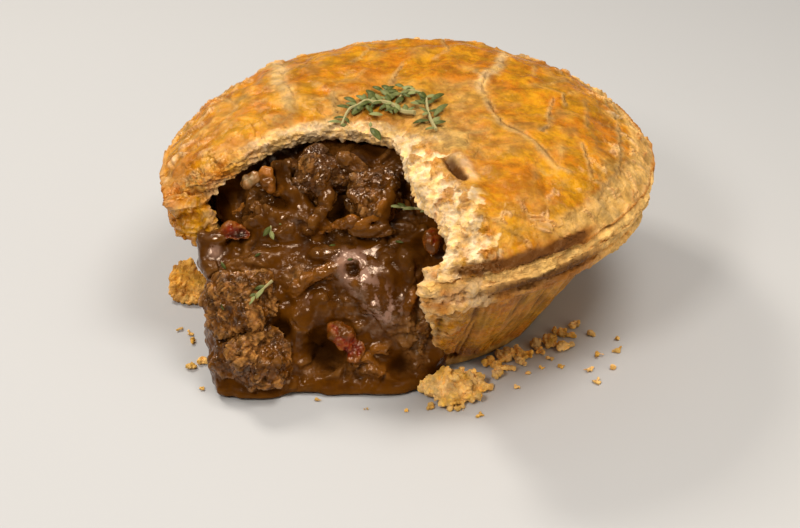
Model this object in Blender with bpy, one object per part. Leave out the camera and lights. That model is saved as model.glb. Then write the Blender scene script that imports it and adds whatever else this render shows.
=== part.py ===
"""A steak and ale pie, broken open at the front so that its stew spills out.

The origin is the centre of the pie's flat base, +Z is up, and the broken side faces -Y.
Lengths in this file are millimetres and angles are degrees; MM turns them into metres.
"""
import math

import bmesh
import bpy
import numpy as np
from mathutils import Euler, Matrix, Vector, noise
from mathutils.bvhtree import BVHTree

MM = 0.001

# The crust
RIM_RADIUS = 62.5
BASE_RADIUS = 34.8
LID_TOP = 56.0
SEAM_Z = 40.8
LID_THICKNESS = 5.4
LID_SEAT_RADIUS = 53.5
FLANGE_BOTTOM_Z = 31.4
WALL_TOP_Z = 29.0
INNER_WALL_RADIUS = 52.5
WALL_THICKNESS = 4.6
FLOOR_THICKNESS = 4.2
FOOT_Z = 3.5
CRUST_SEGMENTS = 80
LID_RINGS = 17
LID_UNDER_RINGS = 5
FLUTE_COUNT = 20
FLUTE_DEPTH = 1.0
RIM_LIFT = 4.5
RIM_LIFT_AZIMUTH = 300
RIM_LIFT_SPREAD = 70
CRAG_HEIGHT = 1.7
TORN_DROP = 2.2
TORN_BAND = 9.0

# Clear space between pieces that touch
GAP = 0.4
SETTLE_REACH = 5.0
# What lies this close above the table is pressed flat onto it
FLAT_REACH = 0.35

# Where the lid broke off, from the break's right end at the rim, round the middle, to its left end
LID_BREAK = (
    (5.6, -62.0), (8.2, -56.5), (9.2, -51.0), (6.4, -43.0), (2.6, -37.7), (0.4, -31.3), (-0.4, -25.5),
    (-0.8, -18.3), (-3.4, -10.6), (-9.1, -7.6), (-14.1, -6.0), (-19.0, -5.0), (-26.5, -5.6),
    (-33.9, -8.8), (-38.3, -11.4), (-42.5, -14.2), (-46.3, -16.2), (-50.0, -17.6), (-54.4, -16.8),
    (-60.0, -16.2))
# Where the wall broke off at each height: x of its right end, y of its left end
WALL_BREAK = (
    (4.3, 11.5, -20.5), (8.0, 8.0, -22.0), (13.0, 6.6, -22.8), (18.0, 5.8, -22.0), (23.0, 5.2, -21.0),
    (28.0, 4.2, -21.6), (32.5, 5.0, -19.8), (37.0, 3.2, -19.0), (47.0, 4.4, -18.4))
BREAK_REACH = 95.0
# Outline in plan of everything that the lid's break lays open
BREAK_OUTLINE = LID_BREAK + (
    (-BREAK_REACH, LID_BREAK[-1][1]), (-BREAK_REACH, -BREAK_REACH), (LID_BREAK[0][0], -BREAK_REACH))
BREAK_RAGGEDNESS = 0.8
# Heights at which the lid's broken edge steps from layer to layer
LID_BREAK_LEVELS = (SEAM_Z - 3.0, 43.5, 46.5, 49.5, 52.5, 55.0, LID_TOP + 8)
# Stations of the wall's two broken edges: y down the right one, x out along the left one
WALL_BREAK_YS = (-BREAK_REACH, -60.0, -55.0, -50.0, -45.0, -40.0, -30.0, -18.0)
WALL_BREAK_XS = (-30.0, -38.0, -44.0, -50.0, -55.0, -60.0, -BREAK_REACH)

# The stew's slope in the opening, as (y, z) down a left, a middle and a right line of constant x
SLOPE_X = (-44.0, -14.0, 3.0)
SLOPE_LEFT = (
    (2, 41), (-8, 37), (-15, 34.5), (-22, 32.5), (-28, 27.5), (-34, 21), (-40, 12), (-45, 5),
    (-49, 0))
SLOPE_MIDDLE = (
    (2, 54), (-10, 50), (-15, 46.5), (-18, 40.5), (-23, 35), (-31, 30.5), (-36, 22.5),
    (-40, 10.5), (-44, 4), (-48.5, 0))
SLOPE_RIGHT = (
    (2, 54), (-8, 50), (-16, 42), (-21, 38.5), (-26, 36), (-31, 32), (-35, 24), (-39, 13),
    (-42, 6), (-47, 0))
# Outline of the spilt stew on the table, from its left end at the case round the front to its right end
SPILL_OUTLINE = (
    (-46.0, -14.0), (-51.0, -19.0), (-54.0, -27.0), (-52.0, -33.5), (-51.5, -40.0), (-49.5, -46.0),
    (-42.5, -49.5), (-36.0, -49.0), (-30.0, -45.5), (-21.0, -47.0), (-11.0, -49.5), (-3.0, -49.0),
    (3.0, -45.5), (8.0, -39.0), (11.5, -31.0), (11.5, -12.0))
SPILL_SHOULDER = 8.0
# Share of the slope's height that is left at the spill's very edge
SPILL_EDGE = 0.08
# The break opens the case in front of this y, and the stew sinks back this far under the lid's edge
OPENING_Y = -15.0
STEW_RECESS = 3.5
STEW_CELL = 1.5
STEW_VOXEL = 1.15
STEW_TRIANGLES = 1600
STEW_SHRINK = 0.8
THINNEST_STEW = 0.4

# Lumps of thick gravy on the slope: centre, then half length, half width and half height
GRAVY_LUMPS = (
    ((-9.5, -32.0, 24.5), (8.5, 5.5, 6.5)),
    ((-5.5, -35.5, 15.0), (5.5, 4.5, 6.5)),
    ((-29.0, -13.0, 44.0), (5.5, 5.0, 5.5)),
    ((-50.0, -23.0, 27.5), (4.0, 4.5, 5.5)),
    ((-33.0, -19.5, 34.5), (9.0, 5.0, 4.5)),
    ((-20.0, -25.0, 29.5), (12.0, 4.0, 3.5)),
    ((-15.0, -37.5, 6.0), (8.0, 6.5, 5.0)),
    ((-27.0, -36.5, 14.0), (5.0, 4.5, 8.0)),
    ((-40.0, -27.0, 27.0), (8.0, 5.0, 4.5)),
    ((-7.0, -41.0, 1.6), (10.0, 6.5, 1.6)),
    ((-1.0, -29.5, 30.0), (4.0, 4.0, 4.0)))

# Braised beef: node name, centre, half sizes, turn about X, Y and Z
BEEF_CHUNKS = (
    ("beef_upper_left", (-22.5, -14.0, 45.2), (8.5, 5.2, 5.6), (20, -8, 12)),
    ("beef_upper_right", (-8.8, -17.5, 41.2), (6.6, 6.2, 7.6), (28, 6, -10)),
    ("beef_left", (-41.5, -30.5, 18.5), (9.4, 9.0, 9.6), (10, 8, 25)),
    ("beef_front", (-39.0, -39.0, 8.4), (9.6, 8.4, 7.6), (-14, 10, 30)),
    ("beef_right", (1.8, -34.5, 11.8), (5.6, 5.2, 9.0), (-24, 4, -8)))
BEEF_BLOCKINESS = 0.8
BEEF_LUMPS = 2.4
BEEF_FIBRE = 1.3
BEEF_TRIANGLES = 300

# Strips of vegetable: node name, material, ends, width, thickness, bow
STRIPS = (
    ("pepper_front", "red_pepper", (-20.4, -38.6, 17.0), (-11.6, -41.6, 6.6), 5.4, 2.4, 1.6),
    ("pepper_left", "red_pepper", (-47.6, -22.4, 34.4), (-39.4, -23.2, 34.2), 4.4, 2.0, 1.2),
    ("pepper_right", "red_pepper", (5.4, -28.2, 37.2), (5.8, -32.8, 33.8), 3.2, 1.8, 0.8),
    ("carrot_strip", "cooked_carrot", (-27.2, -31.8, 24.8), (-16.0, -30.6, 28.6), 3.8, 2.4, 1.4),
    ("carrot_slice", "cooked_carrot", (-35.6, -15.2, 49.0), (-34.4, -17.6, 42.6), 3.4, 2.2, 0.6),
    ("onion_piece", "cooked_onion", (-41.8, -15.6, 44.8), (-36.8, -16.6, 46.6), 3.8, 1.8, 0.6),
    ("onion_strand", "cooked_carrot", (-19.0, -25.2, 37.2), (-10.6, -25.6, 38.8), 2.6, 1.5, 1.0),
    ("carrot_edge", "cooked_carrot", (1.4, -35.0, 25.6), (-2.6, -39.0, 17.2), 2.6, 1.8, 0.8))
STRIP_STATIONS = 7
STRIP_SIDES = 6

# Thyme: the stems of the sprig on the lid in plan, each with the radius at its cut end
SPRIG_STEMS = (
    (((2.2, -4.8), (-3.6, 0.2), (-8.1, 1.2), (-12.0, 0.7), (-14.5, -0.6), (-16.4, -5.4)), 0.8),
    (((-3.6, 0.2), (-1.4, 4.0), (2.8, 5.1), (5.1, 2.6), (5.4, -2.2), (6.1, -8.3), (7.3, -13.4)), 0.6),
    (((-3.6, 0.2), (-5.0, 4.4), (-6.0, 8.4)), 0.45))
LEAF_PAIR_SPACING = 7.4
LEAF_LENGTH = 4.8
LEAF_WIDTH = 2.0
LEAF_THICKNESS = 0.45
# Small thyme pieces on the stew and the lid's broken edge: name, foot, heading, tilt, leaves
THYME_BITS = (
    ("thyme_front", (-34.5, -35.0, 27.5), 205, -26, 3),
    ("thyme_right", (6.0, -25.5, 41.2), 172, 4, 3),
    ("thyme_left", (-34.2, -20.6, 38.2), 262, -38, 2),
    ("thyme_leaf", (-8.4, -12.0, 56.9), 300, -14, 1))

# The crust crumbs that fell against the stew's right foot: centre, half sizes
CRUMB_LUMPS = (
    ((6.5, -46.2, 2.6), (4.4, 3.6, 2.6)), ((11.6, -45.2, 2.9), (4.0, 3.6, 2.9)),
    ((9.0, -49.4, 1.9), (3.6, 2.8, 1.9)), ((15.4, -43.4, 1.9), (3.2, 3.0, 1.9)),
    ((13.6, -48.6, 1.6), (2.6, 2.4, 1.6)), ((8.8, -45.4, 5.0), (2.6, 2.2, 1.8)))
CRUMB_TRIANGLES = 200

COLOURS = {
    "baked_lid": ((0.72, 0.36, 0.075), 0.32),
    "baked_case": ((0.74, 0.46, 0.13), 0.55),
    "ale_gravy": ((0.16, 0.066, 0.024), 0.16),
    "braised_beef": ((0.19, 0.085, 0.042), 0.38),
    "red_pepper": ((0.36, 0.035, 0.012), 0.2),
    "cooked_carrot": ((0.42, 0.16, 0.04), 0.3),
    "cooked_onion": ((0.6, 0.5, 0.34), 0.35),
    "thyme_green": ((0.17, 0.22, 0.09), 0.55),
    "crumb": ((0.66, 0.43, 0.18), 0.7)}


def material(name):
    """One Principled material per kind of food."""
    found = bpy.data.materials.get(name)
    if found:
        return found
    made = bpy.data.materials.new(name)
    made.use_nodes = True
    colour, roughness = COLOURS[name]
    shader = made.node_tree.nodes["Principled BSDF"]
    shader.inputs["Base Color"].default_value = (*colour, 1)
    shader.inputs["Roughness"].default_value = roughness
    shader.inputs["Metallic"].default_value = 0
    made.diffuse_color = (*colour, 1)
    return made


def add_object(name, bm, finish):
    """A scene object in metres from a bmesh in millimetres."""
    bmesh.ops.recalc_face_normals(bm, faces=bm.faces)
    bmesh.ops.scale(bm, vec=(MM, MM, MM), verts=bm.verts)
    mesh = bpy.data.meshes.new(name)
    bm.to_mesh(mesh)
    bm.free()
    obj = bpy.data.objects.new(name, mesh)
    bpy.context.scene.collection.objects.link(obj)
    if finish:
        mesh.materials.append(material(finish))
    mesh.shade_smooth()
    mesh.set_sharp_from_angle(angle=math.radians(50))
    return obj


def apply_modifiers(obj):
    """Turn an object's modifiers into its mesh."""
    graph = bpy.context.evaluated_depsgraph_get()
    mesh = bpy.data.meshes.new_from_object(obj.evaluated_get(graph))
    obj.modifiers.clear()
    obj.data = mesh


def cut(obj, cutter, solver="EXACT"):
    """Cut one object away from another and keep the largest body that is left."""
    modifier = obj.modifiers.new("Cut", "BOOLEAN")
    modifier.operation = "DIFFERENCE"
    modifier.solver = solver
    modifier.object = cutter
    apply_modifiers(obj)
    keep_largest(obj)


def keep_largest(obj):
    """Drop the loose scraps that a cut leaves."""
    bm = bmesh.new()
    bm.from_mesh(obj.data)
    islands = []
    seen = set()
    for start in bm.verts:
        if start in seen:
            continue
        island = [start]
        seen.add(start)
        for vert in island:
            for edge in vert.link_edges:
                other = edge.other_vert(vert)
                if other not in seen:
                    seen.add(other)
                    island.append(other)
        islands.append(island)
    islands.sort(key=len, reverse=True)
    for island in islands[1:]:
        bmesh.ops.delete(bm, geom=island, context="VERTS")
    bm.to_mesh(obj.data)
    bm.free()


def smoothstep(low, high, value):
    """0 below low, 1 above high, with a smooth ramp between."""
    share = min(max((value - low) / (high - low), 0.0), 1.0)
    return share * share * (3 - 2 * share)


def fractal(x, y, z, octaves=3):
    """Smooth noise of about -1 to 1."""
    return noise.fractal(Vector((x, y, z)), 1.0, 2.0, octaves)


def rim_lift(radius, azimuth, z):
    """How far baking lifted a point of the crust: most at the rim beside the break."""
    off = (azimuth - RIM_LIFT_AZIMUTH + 180) % 360 - 180
    if abs(off) >= RIM_LIFT_SPREAD:
        return 0.0
    crest = math.cos(math.radians(90 * off / RIM_LIFT_SPREAD)) ** 1.5
    return RIM_LIFT * crest * smoothstep(20, 60, radius) * smoothstep(14, 36, z)


def dome(radius, outer_radius, top_z):
    """Height of a domed surface that meets the seam at outer_radius."""
    share = min(radius / outer_radius, 1.0)
    return SEAM_Z + (top_z - SEAM_Z) * (1 - share ** 4) ** 0.91


def distance_to_line(x, y, points):
    """Distance in plan from a point to a polyline."""
    best = math.inf
    for (ax, ay), (bx, by) in zip(points, points[1:]):
        length = (bx - ax) ** 2 + (by - ay) ** 2
        share = min(max(((x - ax) * (bx - ax) + (y - ay) * (by - ay)) / length, 0.0), 1.0)
        best = min(best, math.hypot(ax + share * (bx - ax) - x, ay + share * (by - ay) - y))
    return best


def inside_outline(x, y, points):
    """Whether a point in plan lies inside a closed outline."""
    inside = False
    for (ax, ay), (bx, by) in zip(points, points[1:] + points[:1]):
        if (ay > y) != (by > y) and x < ax + (y - ay) * (bx - ax) / (by - ay):
            inside = not inside
    return inside


def lathe(name, profile, warp, finish):
    """A closed shell turned from a profile that starts and ends on the axis.

    Each profile point is (radius, z, skin), and warp bends it for its azimuth.
    """
    bm = bmesh.new()
    rings = []
    for radius, z, skin in profile:
        count = CRUST_SEGMENTS if radius > 0 else 1
        ring = []
        for k in range(count):
            azimuth = 360 * k / count
            r, height = warp(radius, z, skin, azimuth)
            angle = math.radians(azimuth)
            ring.append(bm.verts.new((r * math.cos(angle), r * math.sin(angle), height)))
        rings.append(ring)
    for upper, lower in zip(rings, rings[1:]):
        for k in range(CRUST_SEGMENTS):
            after = (k + 1) % CRUST_SEGMENTS
            corners = [upper[k % len(upper)], upper[after % len(upper)],
                       lower[after % len(lower)], lower[k % len(lower)]]
            bm.faces.new(list(dict.fromkeys(corners)))
    bmesh.ops.triangulate(bm, faces=bm.faces)
    return add_object(name, bm, finish)


def grown(profile, amount):
    """The same profile with every point moved outward by amount."""
    moved = []
    for k, (radius, z, skin) in enumerate(profile):
        before = profile[max(k - 1, 0)]
        after = profile[min(k + 1, len(profile) - 1)]
        along = Vector((after[0] - before[0], after[1] - before[1])).normalized()
        new_radius = radius - along.y * amount if radius > 0 else 0.0
        moved.append((new_radius, z + along.x * amount, skin))
    return moved


def lid_profile():
    """From the lid's top centre out over the rim and back along its underside."""
    points = []
    for k in range(LID_RINGS + 1):
        radius = RIM_RADIUS * math.sin(math.radians(90 * k / LID_RINGS))
        points.append((radius, dome(radius, RIM_RADIUS, LID_TOP), "top"))
    points.append((RIM_RADIUS - 0.6, SEAM_Z - 0.5, "under"))
    for k in range(LID_UNDER_RINGS + 1):
        radius = LID_SEAT_RADIUS * math.cos(math.radians(90 * k / LID_UNDER_RINGS))
        radius = radius if k < LID_UNDER_RINGS else 0.0
        points.append((radius, dome(radius, LID_SEAT_RADIUS, LID_TOP - LID_THICKNESS), "under"))
    return points


def lid_warp(radius, z, skin, azimuth):
    """The lid's bakes, blisters and the worn band along its break."""
    lifted = z + rim_lift(radius, azimuth, z)
    if skin != "top":
        return radius, lifted
    x = radius * math.cos(math.radians(azimuth))
    y = radius * math.sin(math.radians(azimuth))
    flat = 1 - smoothstep(56, 62, radius)
    blisters = 0.7 - abs(fractal(x / 13, y / 13, 8.4, 2)) * 2
    crag = CRAG_HEIGHT * (0.45 * fractal(x / 8, y / 8, 3.1, 2) + 0.5 * blisters) * flat
    worn = TORN_DROP * (1 - smoothstep(0, TORN_BAND, distance_to_line(x, y, LID_BREAK)))
    sway = 0.8 * noise.noise(Vector((x / 16, y / 16, 1.7))) * smoothstep(50, 60, radius)
    return radius + sway, lifted + crag - worn * flat


def wall_radius(z):
    """Outer radius of the case's wall at a height."""
    foot = BASE_RADIUS + 2.6
    return foot + (z - FOOT_Z) / (WALL_TOP_Z - FOOT_Z) * (RIM_RADIUS - 7.5 - foot)


def case_profile():
    """From the floor's centre out and up inside, over the flange and down outside to the base's centre."""
    points = [(0, FLOOR_THICKNESS, "inside"), (BASE_RADIUS - 1.8, FLOOR_THICKNESS, "inside")]
    for z in (13.0, 24.0, 34.0):
        points.append((min(wall_radius(z) - WALL_THICKNESS, INNER_WALL_RADIUS), z, "inside"))
    flange_top = SEAM_Z - GAP - 0.3
    points.append((INNER_WALL_RADIUS + 1.2, flange_top, "inside"))
    leaf_rows = 6
    for k in range(leaf_rows, -1, -1):
        z = FLANGE_BOTTOM_Z + (flange_top - FLANGE_BOTTOM_Z) * k / leaf_rows
        ledge = 0.75 if k % 2 else 0.0
        points.append((RIM_RADIUS - 1.1 + ledge - 0.5 * (k == 0), z, "rim"))
    points.append((RIM_RADIUS - 4.0, FLANGE_BOTTOM_Z - 0.6, "rim"))
    wall_rows = 4
    for k in range(wall_rows, -1, -1):
        z = FOOT_Z + (WALL_TOP_Z - FOOT_Z) * k / wall_rows
        points.append((wall_radius(z), z, "wall"))
    points += [(BASE_RADIUS + 1.4, 1.2, "base"), (BASE_RADIUS, 0, "base"), (0, 0, "base")]
    return points


def case_warp(radius, z, skin, azimuth):
    """Flutes down the wall, and flaky layers that wander round the rim."""
    lifted = z + rim_lift(radius, azimuth, z)
    if skin == "wall":
        deep = 0.5 + 0.5 * math.cos(math.radians(FLUTE_COUNT * azimuth))
        uneven = 0.7 + 0.6 * noise.noise(Vector((azimuth / 23, 5.2, 0)))
        return radius - FLUTE_DEPTH * deep * uneven, lifted
    if skin == "rim":
        angle = math.radians(azimuth)
        ruffle = noise.noise(Vector((9 * math.cos(angle), 9 * math.sin(angle), z / 1.4)))
        return radius + 0.9 * ruffle, lifted
    return radius, lifted


def inset(points, amount):
    """A plan polygon, listed counter-clockwise, with every corner moved inward by amount."""
    moved = []
    for k, (x, y) in enumerate(points):
        before = Vector(points[k - 1])
        after = Vector(points[(k + 1) % len(points)])
        along = (after - before).normalized()
        moved.append((x - along.y * amount, y + along.x * amount))
    return moved


def loft(name, levels):
    """A closed solid from plan polygons of equal point count, as (z, points) from low to high."""
    bm = bmesh.new()
    rings = [[bm.verts.new((x, y, z)) for x, y in points] for z, points in levels]
    count = len(rings[0])
    for low, high in zip(rings, rings[1:]):
        for k in range(count):
            after = (k + 1) % count
            bm.faces.new((low[k], low[after], high[after], high[k]))
    bm.faces.new(rings[0])
    bm.faces.new(rings[-1])
    bmesh.ops.triangulate(bm, faces=bm.faces)
    obj = add_object(name, bm, None)
    obj.hide_render = True
    obj.display_type = "WIRE"
    return obj


def lid_break_cutter(shrink):
    """The broken-out part of the lid, with a ragged edge that steps back from layer to layer."""
    levels = []
    for number, z in enumerate(LID_BREAK_LEVELS):
        edge = []
        for k, (x, y) in enumerate(LID_BREAK):
            push = BREAK_RAGGEDNESS * noise.noise(Vector((k * 1.7, number * 2.3, 0.5)))
            lean = 0.08 * (z - 50)
            edge.append((x + push + lean * (x > -5), y + push - lean * (x <= -5)))
        outline = [(-BREAK_REACH, -BREAK_REACH), (edge[0][0], -BREAK_REACH)] + edge
        outline.append((-BREAK_REACH, edge[-1][1]))
        levels.append((z, inset(outline, shrink)))
    return loft("lid_break_cutter", levels)


def wall_break_cutter(shrink):
    """The broken-out part of the wall, above a stub that the spilt stew covers."""
    levels = []
    for number, (z, right_x, left_y) in enumerate(WALL_BREAK):
        outline = [(-BREAK_REACH, -BREAK_REACH)]
        for k, y in enumerate(WALL_BREAK_YS):
            push = BREAK_RAGGEDNESS * noise.noise(Vector((k * 2.1, number * 1.9, 4.4)))
            outline.append((right_x + push, y))
        outline.append((-20.0, -14.0))
        for k, x in enumerate(WALL_BREAK_XS):
            push = BREAK_RAGGEDNESS * noise.noise(Vector((k * 1.3, number * 2.7, 9.1)))
            outline.append((x, left_y + push))
        levels.append((z + shrink * (number == 0), inset(outline, shrink)))
    return loft("wall_break_cutter", levels)


def make_lid(name, growth, finish):
    """The domed lid with its break, or with growth a slightly fatter copy to cut others by."""
    lid = lathe(name, grown(lid_profile(), growth), lid_warp, finish)
    cutter = lid_break_cutter(growth)
    cut(lid, cutter)
    bpy.data.objects.remove(cutter)
    return lid


def make_case(name, growth, finish):
    """The fluted case with its break, or with growth a slightly fatter copy to cut others by."""
    case = lathe(name, grown(case_profile(), growth), case_warp, finish)
    cutter = wall_break_cutter(growth)
    cut(case, cutter)
    bpy.data.objects.remove(cutter)
    return case


def slope_height(x, y):
    """Height of the stew's slope, blended between its left, middle and right lines."""
    heights = []
    for line in (SLOPE_LEFT, SLOPE_MIDDLE, SLOPE_RIGHT):
        ys, zs = zip(*reversed(line))
        heights.append(float(np.interp(y, ys, zs)))
    height = float(np.interp(x, SLOPE_X, heights))
    shoulder = min(distance_to_line(x, y, SPILL_OUTLINE) / SPILL_SHOULDER, 1.0)
    side = SPILL_EDGE + (1 - SPILL_EDGE) * math.sqrt(1 - (1 - shoulder) ** 2)
    in_front = smoothstep(14, 22, -y) * (1 - smoothstep(2, 8, x))
    past_wall = smoothstep(47, 52, math.hypot(x, y))
    return height * (1 - max(in_front, past_wall) * (1 - side))


def laid_open(x, y):
    """Whether the stew's top shows at a point in plan, or lies just under the lid's broken edge."""
    return inside_outline(x, y, BREAK_OUTLINE) or distance_to_line(x, y, LID_BREAK) < STEW_RECESS


def stew_column(x, y):
    """The lowest and highest z of the stew at a point in plan, or None where there is none."""
    radius = math.hypot(x, y)
    azimuth = math.degrees(math.atan2(y, x)) % 360
    clear = GAP + STEW_SHRINK
    in_break = y < OPENING_Y and inside_outline(x, y, SPILL_OUTLINE)
    wall_foot = BASE_RADIUS - 1.8
    if radius < INNER_WALL_RADIUS - clear:
        slant = (wall_radius(WALL_TOP_Z) - wall_radius(FOOT_Z)) / (WALL_TOP_Z - FOOT_Z)
        floor = FLOOR_THICKNESS + clear + max(radius + clear - wall_foot, 0) / slant
        lid_under = dome(radius, LID_SEAT_RADIUS, LID_TOP - LID_THICKNESS) - clear
        ceiling = lid_under + rim_lift(radius, azimuth, SEAM_Z)
    else:
        floor = math.inf
        ceiling = math.inf
    if in_break:
        floor = 0.0 if radius > BASE_RADIUS - 6 else floor
        ceiling = min(ceiling, slope_height(x, y))
    elif laid_open(x, y):
        ceiling = min(ceiling, slope_height(x, y))
    if not ceiling - floor > THINNEST_STEW:
        return None
    return floor, ceiling


def stew_bed():
    """The stew as a field of columns, closed top, bottom and sides."""
    half = int(RIM_RADIUS / STEW_CELL) + 1
    columns = {}
    for i in range(-half, half + 1):
        for j in range(-half, half + 1):
            span = stew_column(i * STEW_CELL, j * STEW_CELL)
            if span:
                columns[i, j] = span
    bm = bmesh.new()
    low = {}
    high = {}
    for (i, j), (floor, ceiling) in columns.items():
        low[i, j] = bm.verts.new((i * STEW_CELL, j * STEW_CELL, floor))
        high[i, j] = bm.verts.new((i * STEW_CELL, j * STEW_CELL, ceiling))
    cells = [key for key in columns
             if all((key[0] + a, key[1] + b) in columns for a, b in ((1, 0), (0, 1), (1, 1)))]
    for i, j in cells:
        corners = ((i, j), (i + 1, j), (i + 1, j + 1), (i, j + 1))
        bm.faces.new([high[c] for c in corners])
        bm.faces.new([low[c] for c in reversed(corners)])
    filled = set(cells)
    for i, j in cells:
        sides = (((i, j), (i + 1, j), (i, j - 1)), ((i + 1, j), (i + 1, j + 1), (i + 1, j)),
                 ((i + 1, j + 1), (i, j + 1), (i, j + 1)), ((i, j + 1), (i, j), (i - 1, j)))
        for a, b, neighbour in sides:
            if neighbour not in filled:
                bm.faces.new((low[a], low[b], high[b], high[a]))
    loose = [vert for vert in bm.verts if not vert.link_faces]
    bmesh.ops.delete(bm, geom=loose, context="VERTS")
    return bm


def add_blob(bm, centre, half_sizes, turn=(0, 0, 0), detail=3):
    """An ellipsoid in a bmesh, as its vertices."""
    matrix = Matrix.Translation(centre) @ Euler([math.radians(a) for a in turn]).to_matrix().to_4x4()
    matrix = matrix @ Matrix.Diagonal((*half_sizes, 1))
    return bmesh.ops.create_icosphere(bm, subdivisions=detail, radius=1, matrix=matrix)["verts"]


def reduce_to(obj, triangles):
    """Collapse edges until the object has about this many triangles."""
    obj.data.calc_loop_triangles()
    modifier = obj.modifiers.new("Fewer", "DECIMATE")
    modifier.ratio = min(triangles / len(obj.data.loop_triangles), 1.0)
    modifier.use_collapse_triangulate = True
    apply_modifiers(obj)


def fuse(obj, voxel, rounds):
    """Melt overlapping shapes into one skin."""
    melt = obj.modifiers.new("Melt", "REMESH")
    melt.mode = "VOXEL"
    melt.voxel_size = voxel * MM
    ease = obj.modifiers.new("Ease", "SMOOTH")
    ease.factor = 0.5
    ease.iterations = rounds
    apply_modifiers(obj)
    keep_largest(obj)


def make_filling():
    """The stew: under the lid, down the case and out over its broken wall."""
    bm = stew_bed()
    for centre, half_sizes in GRAVY_LUMPS:
        add_blob(bm, centre, half_sizes)
    filling = add_object("filling", bm, "ale_gravy")
    fuse(filling, STEW_VOXEL, 2)
    reduce_to(filling, STEW_TRIANGLES)
    press_flat(filling, 0.0)
    return filling


def press_flat(obj, z):
    """Bring what lies below a height up to it, so that the piece rests flat there."""
    for vert in obj.data.vertices:
        if vert.co.z < (z + FLAT_REACH) * MM:
            vert.co.z = z * MM


def make_beef(name, centre, half_sizes, turn):
    """A chunk of braised beef: a lump that pulls apart along its fibres."""
    bm = bmesh.new()
    verts = add_blob(bm, (0, 0, 0), (1, 1, 1), detail=4)
    seed = sum(centre)
    for vert in verts:
        along = vert.co.copy()
        rounded = [math.copysign(abs(c) ** BEEF_BLOCKINESS, c) for c in vert.co]
        blocky = [c * half for c, half in zip(rounded, half_sizes)]
        x, y, z = blocky
        lumps = fractal(x / 6 + seed, y / 6, z / 6, 2)
        fibres = fractal(x / 8 + seed, y / 2.6, z / 2.6, 2)
        vert.co = Vector(blocky) + along * (BEEF_LUMPS * lumps + BEEF_FIBRE * fibres)
    matrix = Matrix.Translation(centre) @ Euler([math.radians(a) for a in turn]).to_matrix().to_4x4()
    bmesh.ops.transform(bm, matrix=matrix, verts=bm.verts)
    chunk = add_object(name, bm, "braised_beef")
    reduce_to(chunk, BEEF_TRIANGLES)
    return chunk


def sweep(bm, points, radius_at, sides, flatten=1.0, up=Vector((0, 0, 1))):
    """A closed tube along points, with radius_at(share) and a flattened section."""
    rings = []
    count = len(points)
    for k, point in enumerate(points):
        along = (points[min(k + 1, count - 1)] - points[max(k - 1, 0)]).normalized()
        across = along.cross(up).normalized()
        lift = across.cross(along).normalized()
        width = radius_at(k / (count - 1))
        ring = []
        for s in range(sides):
            angle = 2 * math.pi * s / sides
            offset = across * (math.cos(angle) * width) + lift * (math.sin(angle) * width * flatten)
            ring.append(bm.verts.new(point + offset))
        rings.append(ring)
    for a, b in zip(rings, rings[1:]):
        for s in range(sides):
            t = (s + 1) % sides
            bm.faces.new((a[s], a[t], b[t], b[s]))
    bm.faces.new(rings[0])
    bm.faces.new(rings[-1])


def make_strip(name, finish, start, end, width, thickness, bow):
    """A bowed strip of cooked vegetable with blunt ends."""
    a = Vector(start)
    b = Vector(end)
    points = []
    for k in range(STRIP_STATIONS):
        share = k / (STRIP_STATIONS - 1)
        bulge = Vector((0, -0.6, 0.8)) * bow * math.sin(math.pi * share)
        points.append(a.lerp(b, share) + bulge)
    bm = bmesh.new()

    def half_width(share):
        ends = max(1 - (2 * share - 1) ** 4, 0.12)
        return width / 2 * ends * (1 + 0.16 * noise.noise(Vector((share * 4, a.x, a.z))))

    sweep(bm, points, half_width, STRIP_SIDES, thickness / width, Vector((0, -0.62, 0.78)))
    return add_object(name, bm, finish)


def add_leaf(bm, foot, heading, tilt, length):
    """A thin boat-shaped leaf: both faces are cut into triangles alike."""
    stations = ((0.0, 0.22), (0.3, 0.9), (0.68, 1.0), (1.0, 0.18))
    turn = Matrix.Rotation(math.radians(heading), 3, "Z") @ Matrix.Rotation(math.radians(-tilt), 3, "Y")
    rows = {1: [], -1: []}
    for face in (1, -1):
        for share, spread in stations:
            sag = 0.6 * share * share
            row = []
            for side in (-1, 0, 1):
                rise = face * LEAF_THICKNESS / 2 * (1 if side == 0 else 0.6) - 0.35 * (side == 0) - sag
                local = Vector((share * length, side * spread * LEAF_WIDTH / 2, rise))
                row.append(bm.verts.new(Vector(foot) + turn @ local))
            rows[face].append(row)
    for face in (1, -1):
        for a, b in zip(rows[face], rows[face][1:]):
            bm.faces.new((a[0], a[1], b[1]))
            bm.faces.new((a[0], b[1], b[0]))
            bm.faces.new((a[1], a[2], b[1]))
            bm.faces.new((a[2], b[2], b[1]))
    top, low = rows[1], rows[-1]
    for k in range(len(stations) - 1):
        for side in (0, 2):
            bm.faces.new((top[k][side], top[k + 1][side], low[k + 1][side], low[k][side]))
    for k in (0, len(stations) - 1):
        for side in (0, 1):
            bm.faces.new((top[k][side], top[k][side + 1], low[k][side + 1], low[k][side]))


def lid_height(x, y):
    """Height of the lid's top at a point in plan."""
    radius = math.hypot(x, y)
    azimuth = math.degrees(math.atan2(y, x)) % 360
    return lid_warp(radius, dome(radius, RIM_RADIUS, LID_TOP), "top", azimuth)[1]


def settle(obj, supports):
    """Lower or raise an object until it just clears the highest thing under it."""
    graph = bpy.context.evaluated_depsgraph_get()
    trees = [BVHTree.FromObject(support, graph) for support in supports]
    reach = Vector((0, 0, SETTLE_REACH * MM))
    clearance = SETTLE_REACH * MM
    for vert in obj.data.vertices:
        above = vert.co + reach
        for tree in trees:
            hit = tree.ray_cast(above, Vector((0, 0, -1)))[0]
            if hit:
                clearance = min(clearance, vert.co.z - hit.z)
    for vert in obj.data.vertices:
        vert.co.z += (GAP + 0.1) * MM - clearance


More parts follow.
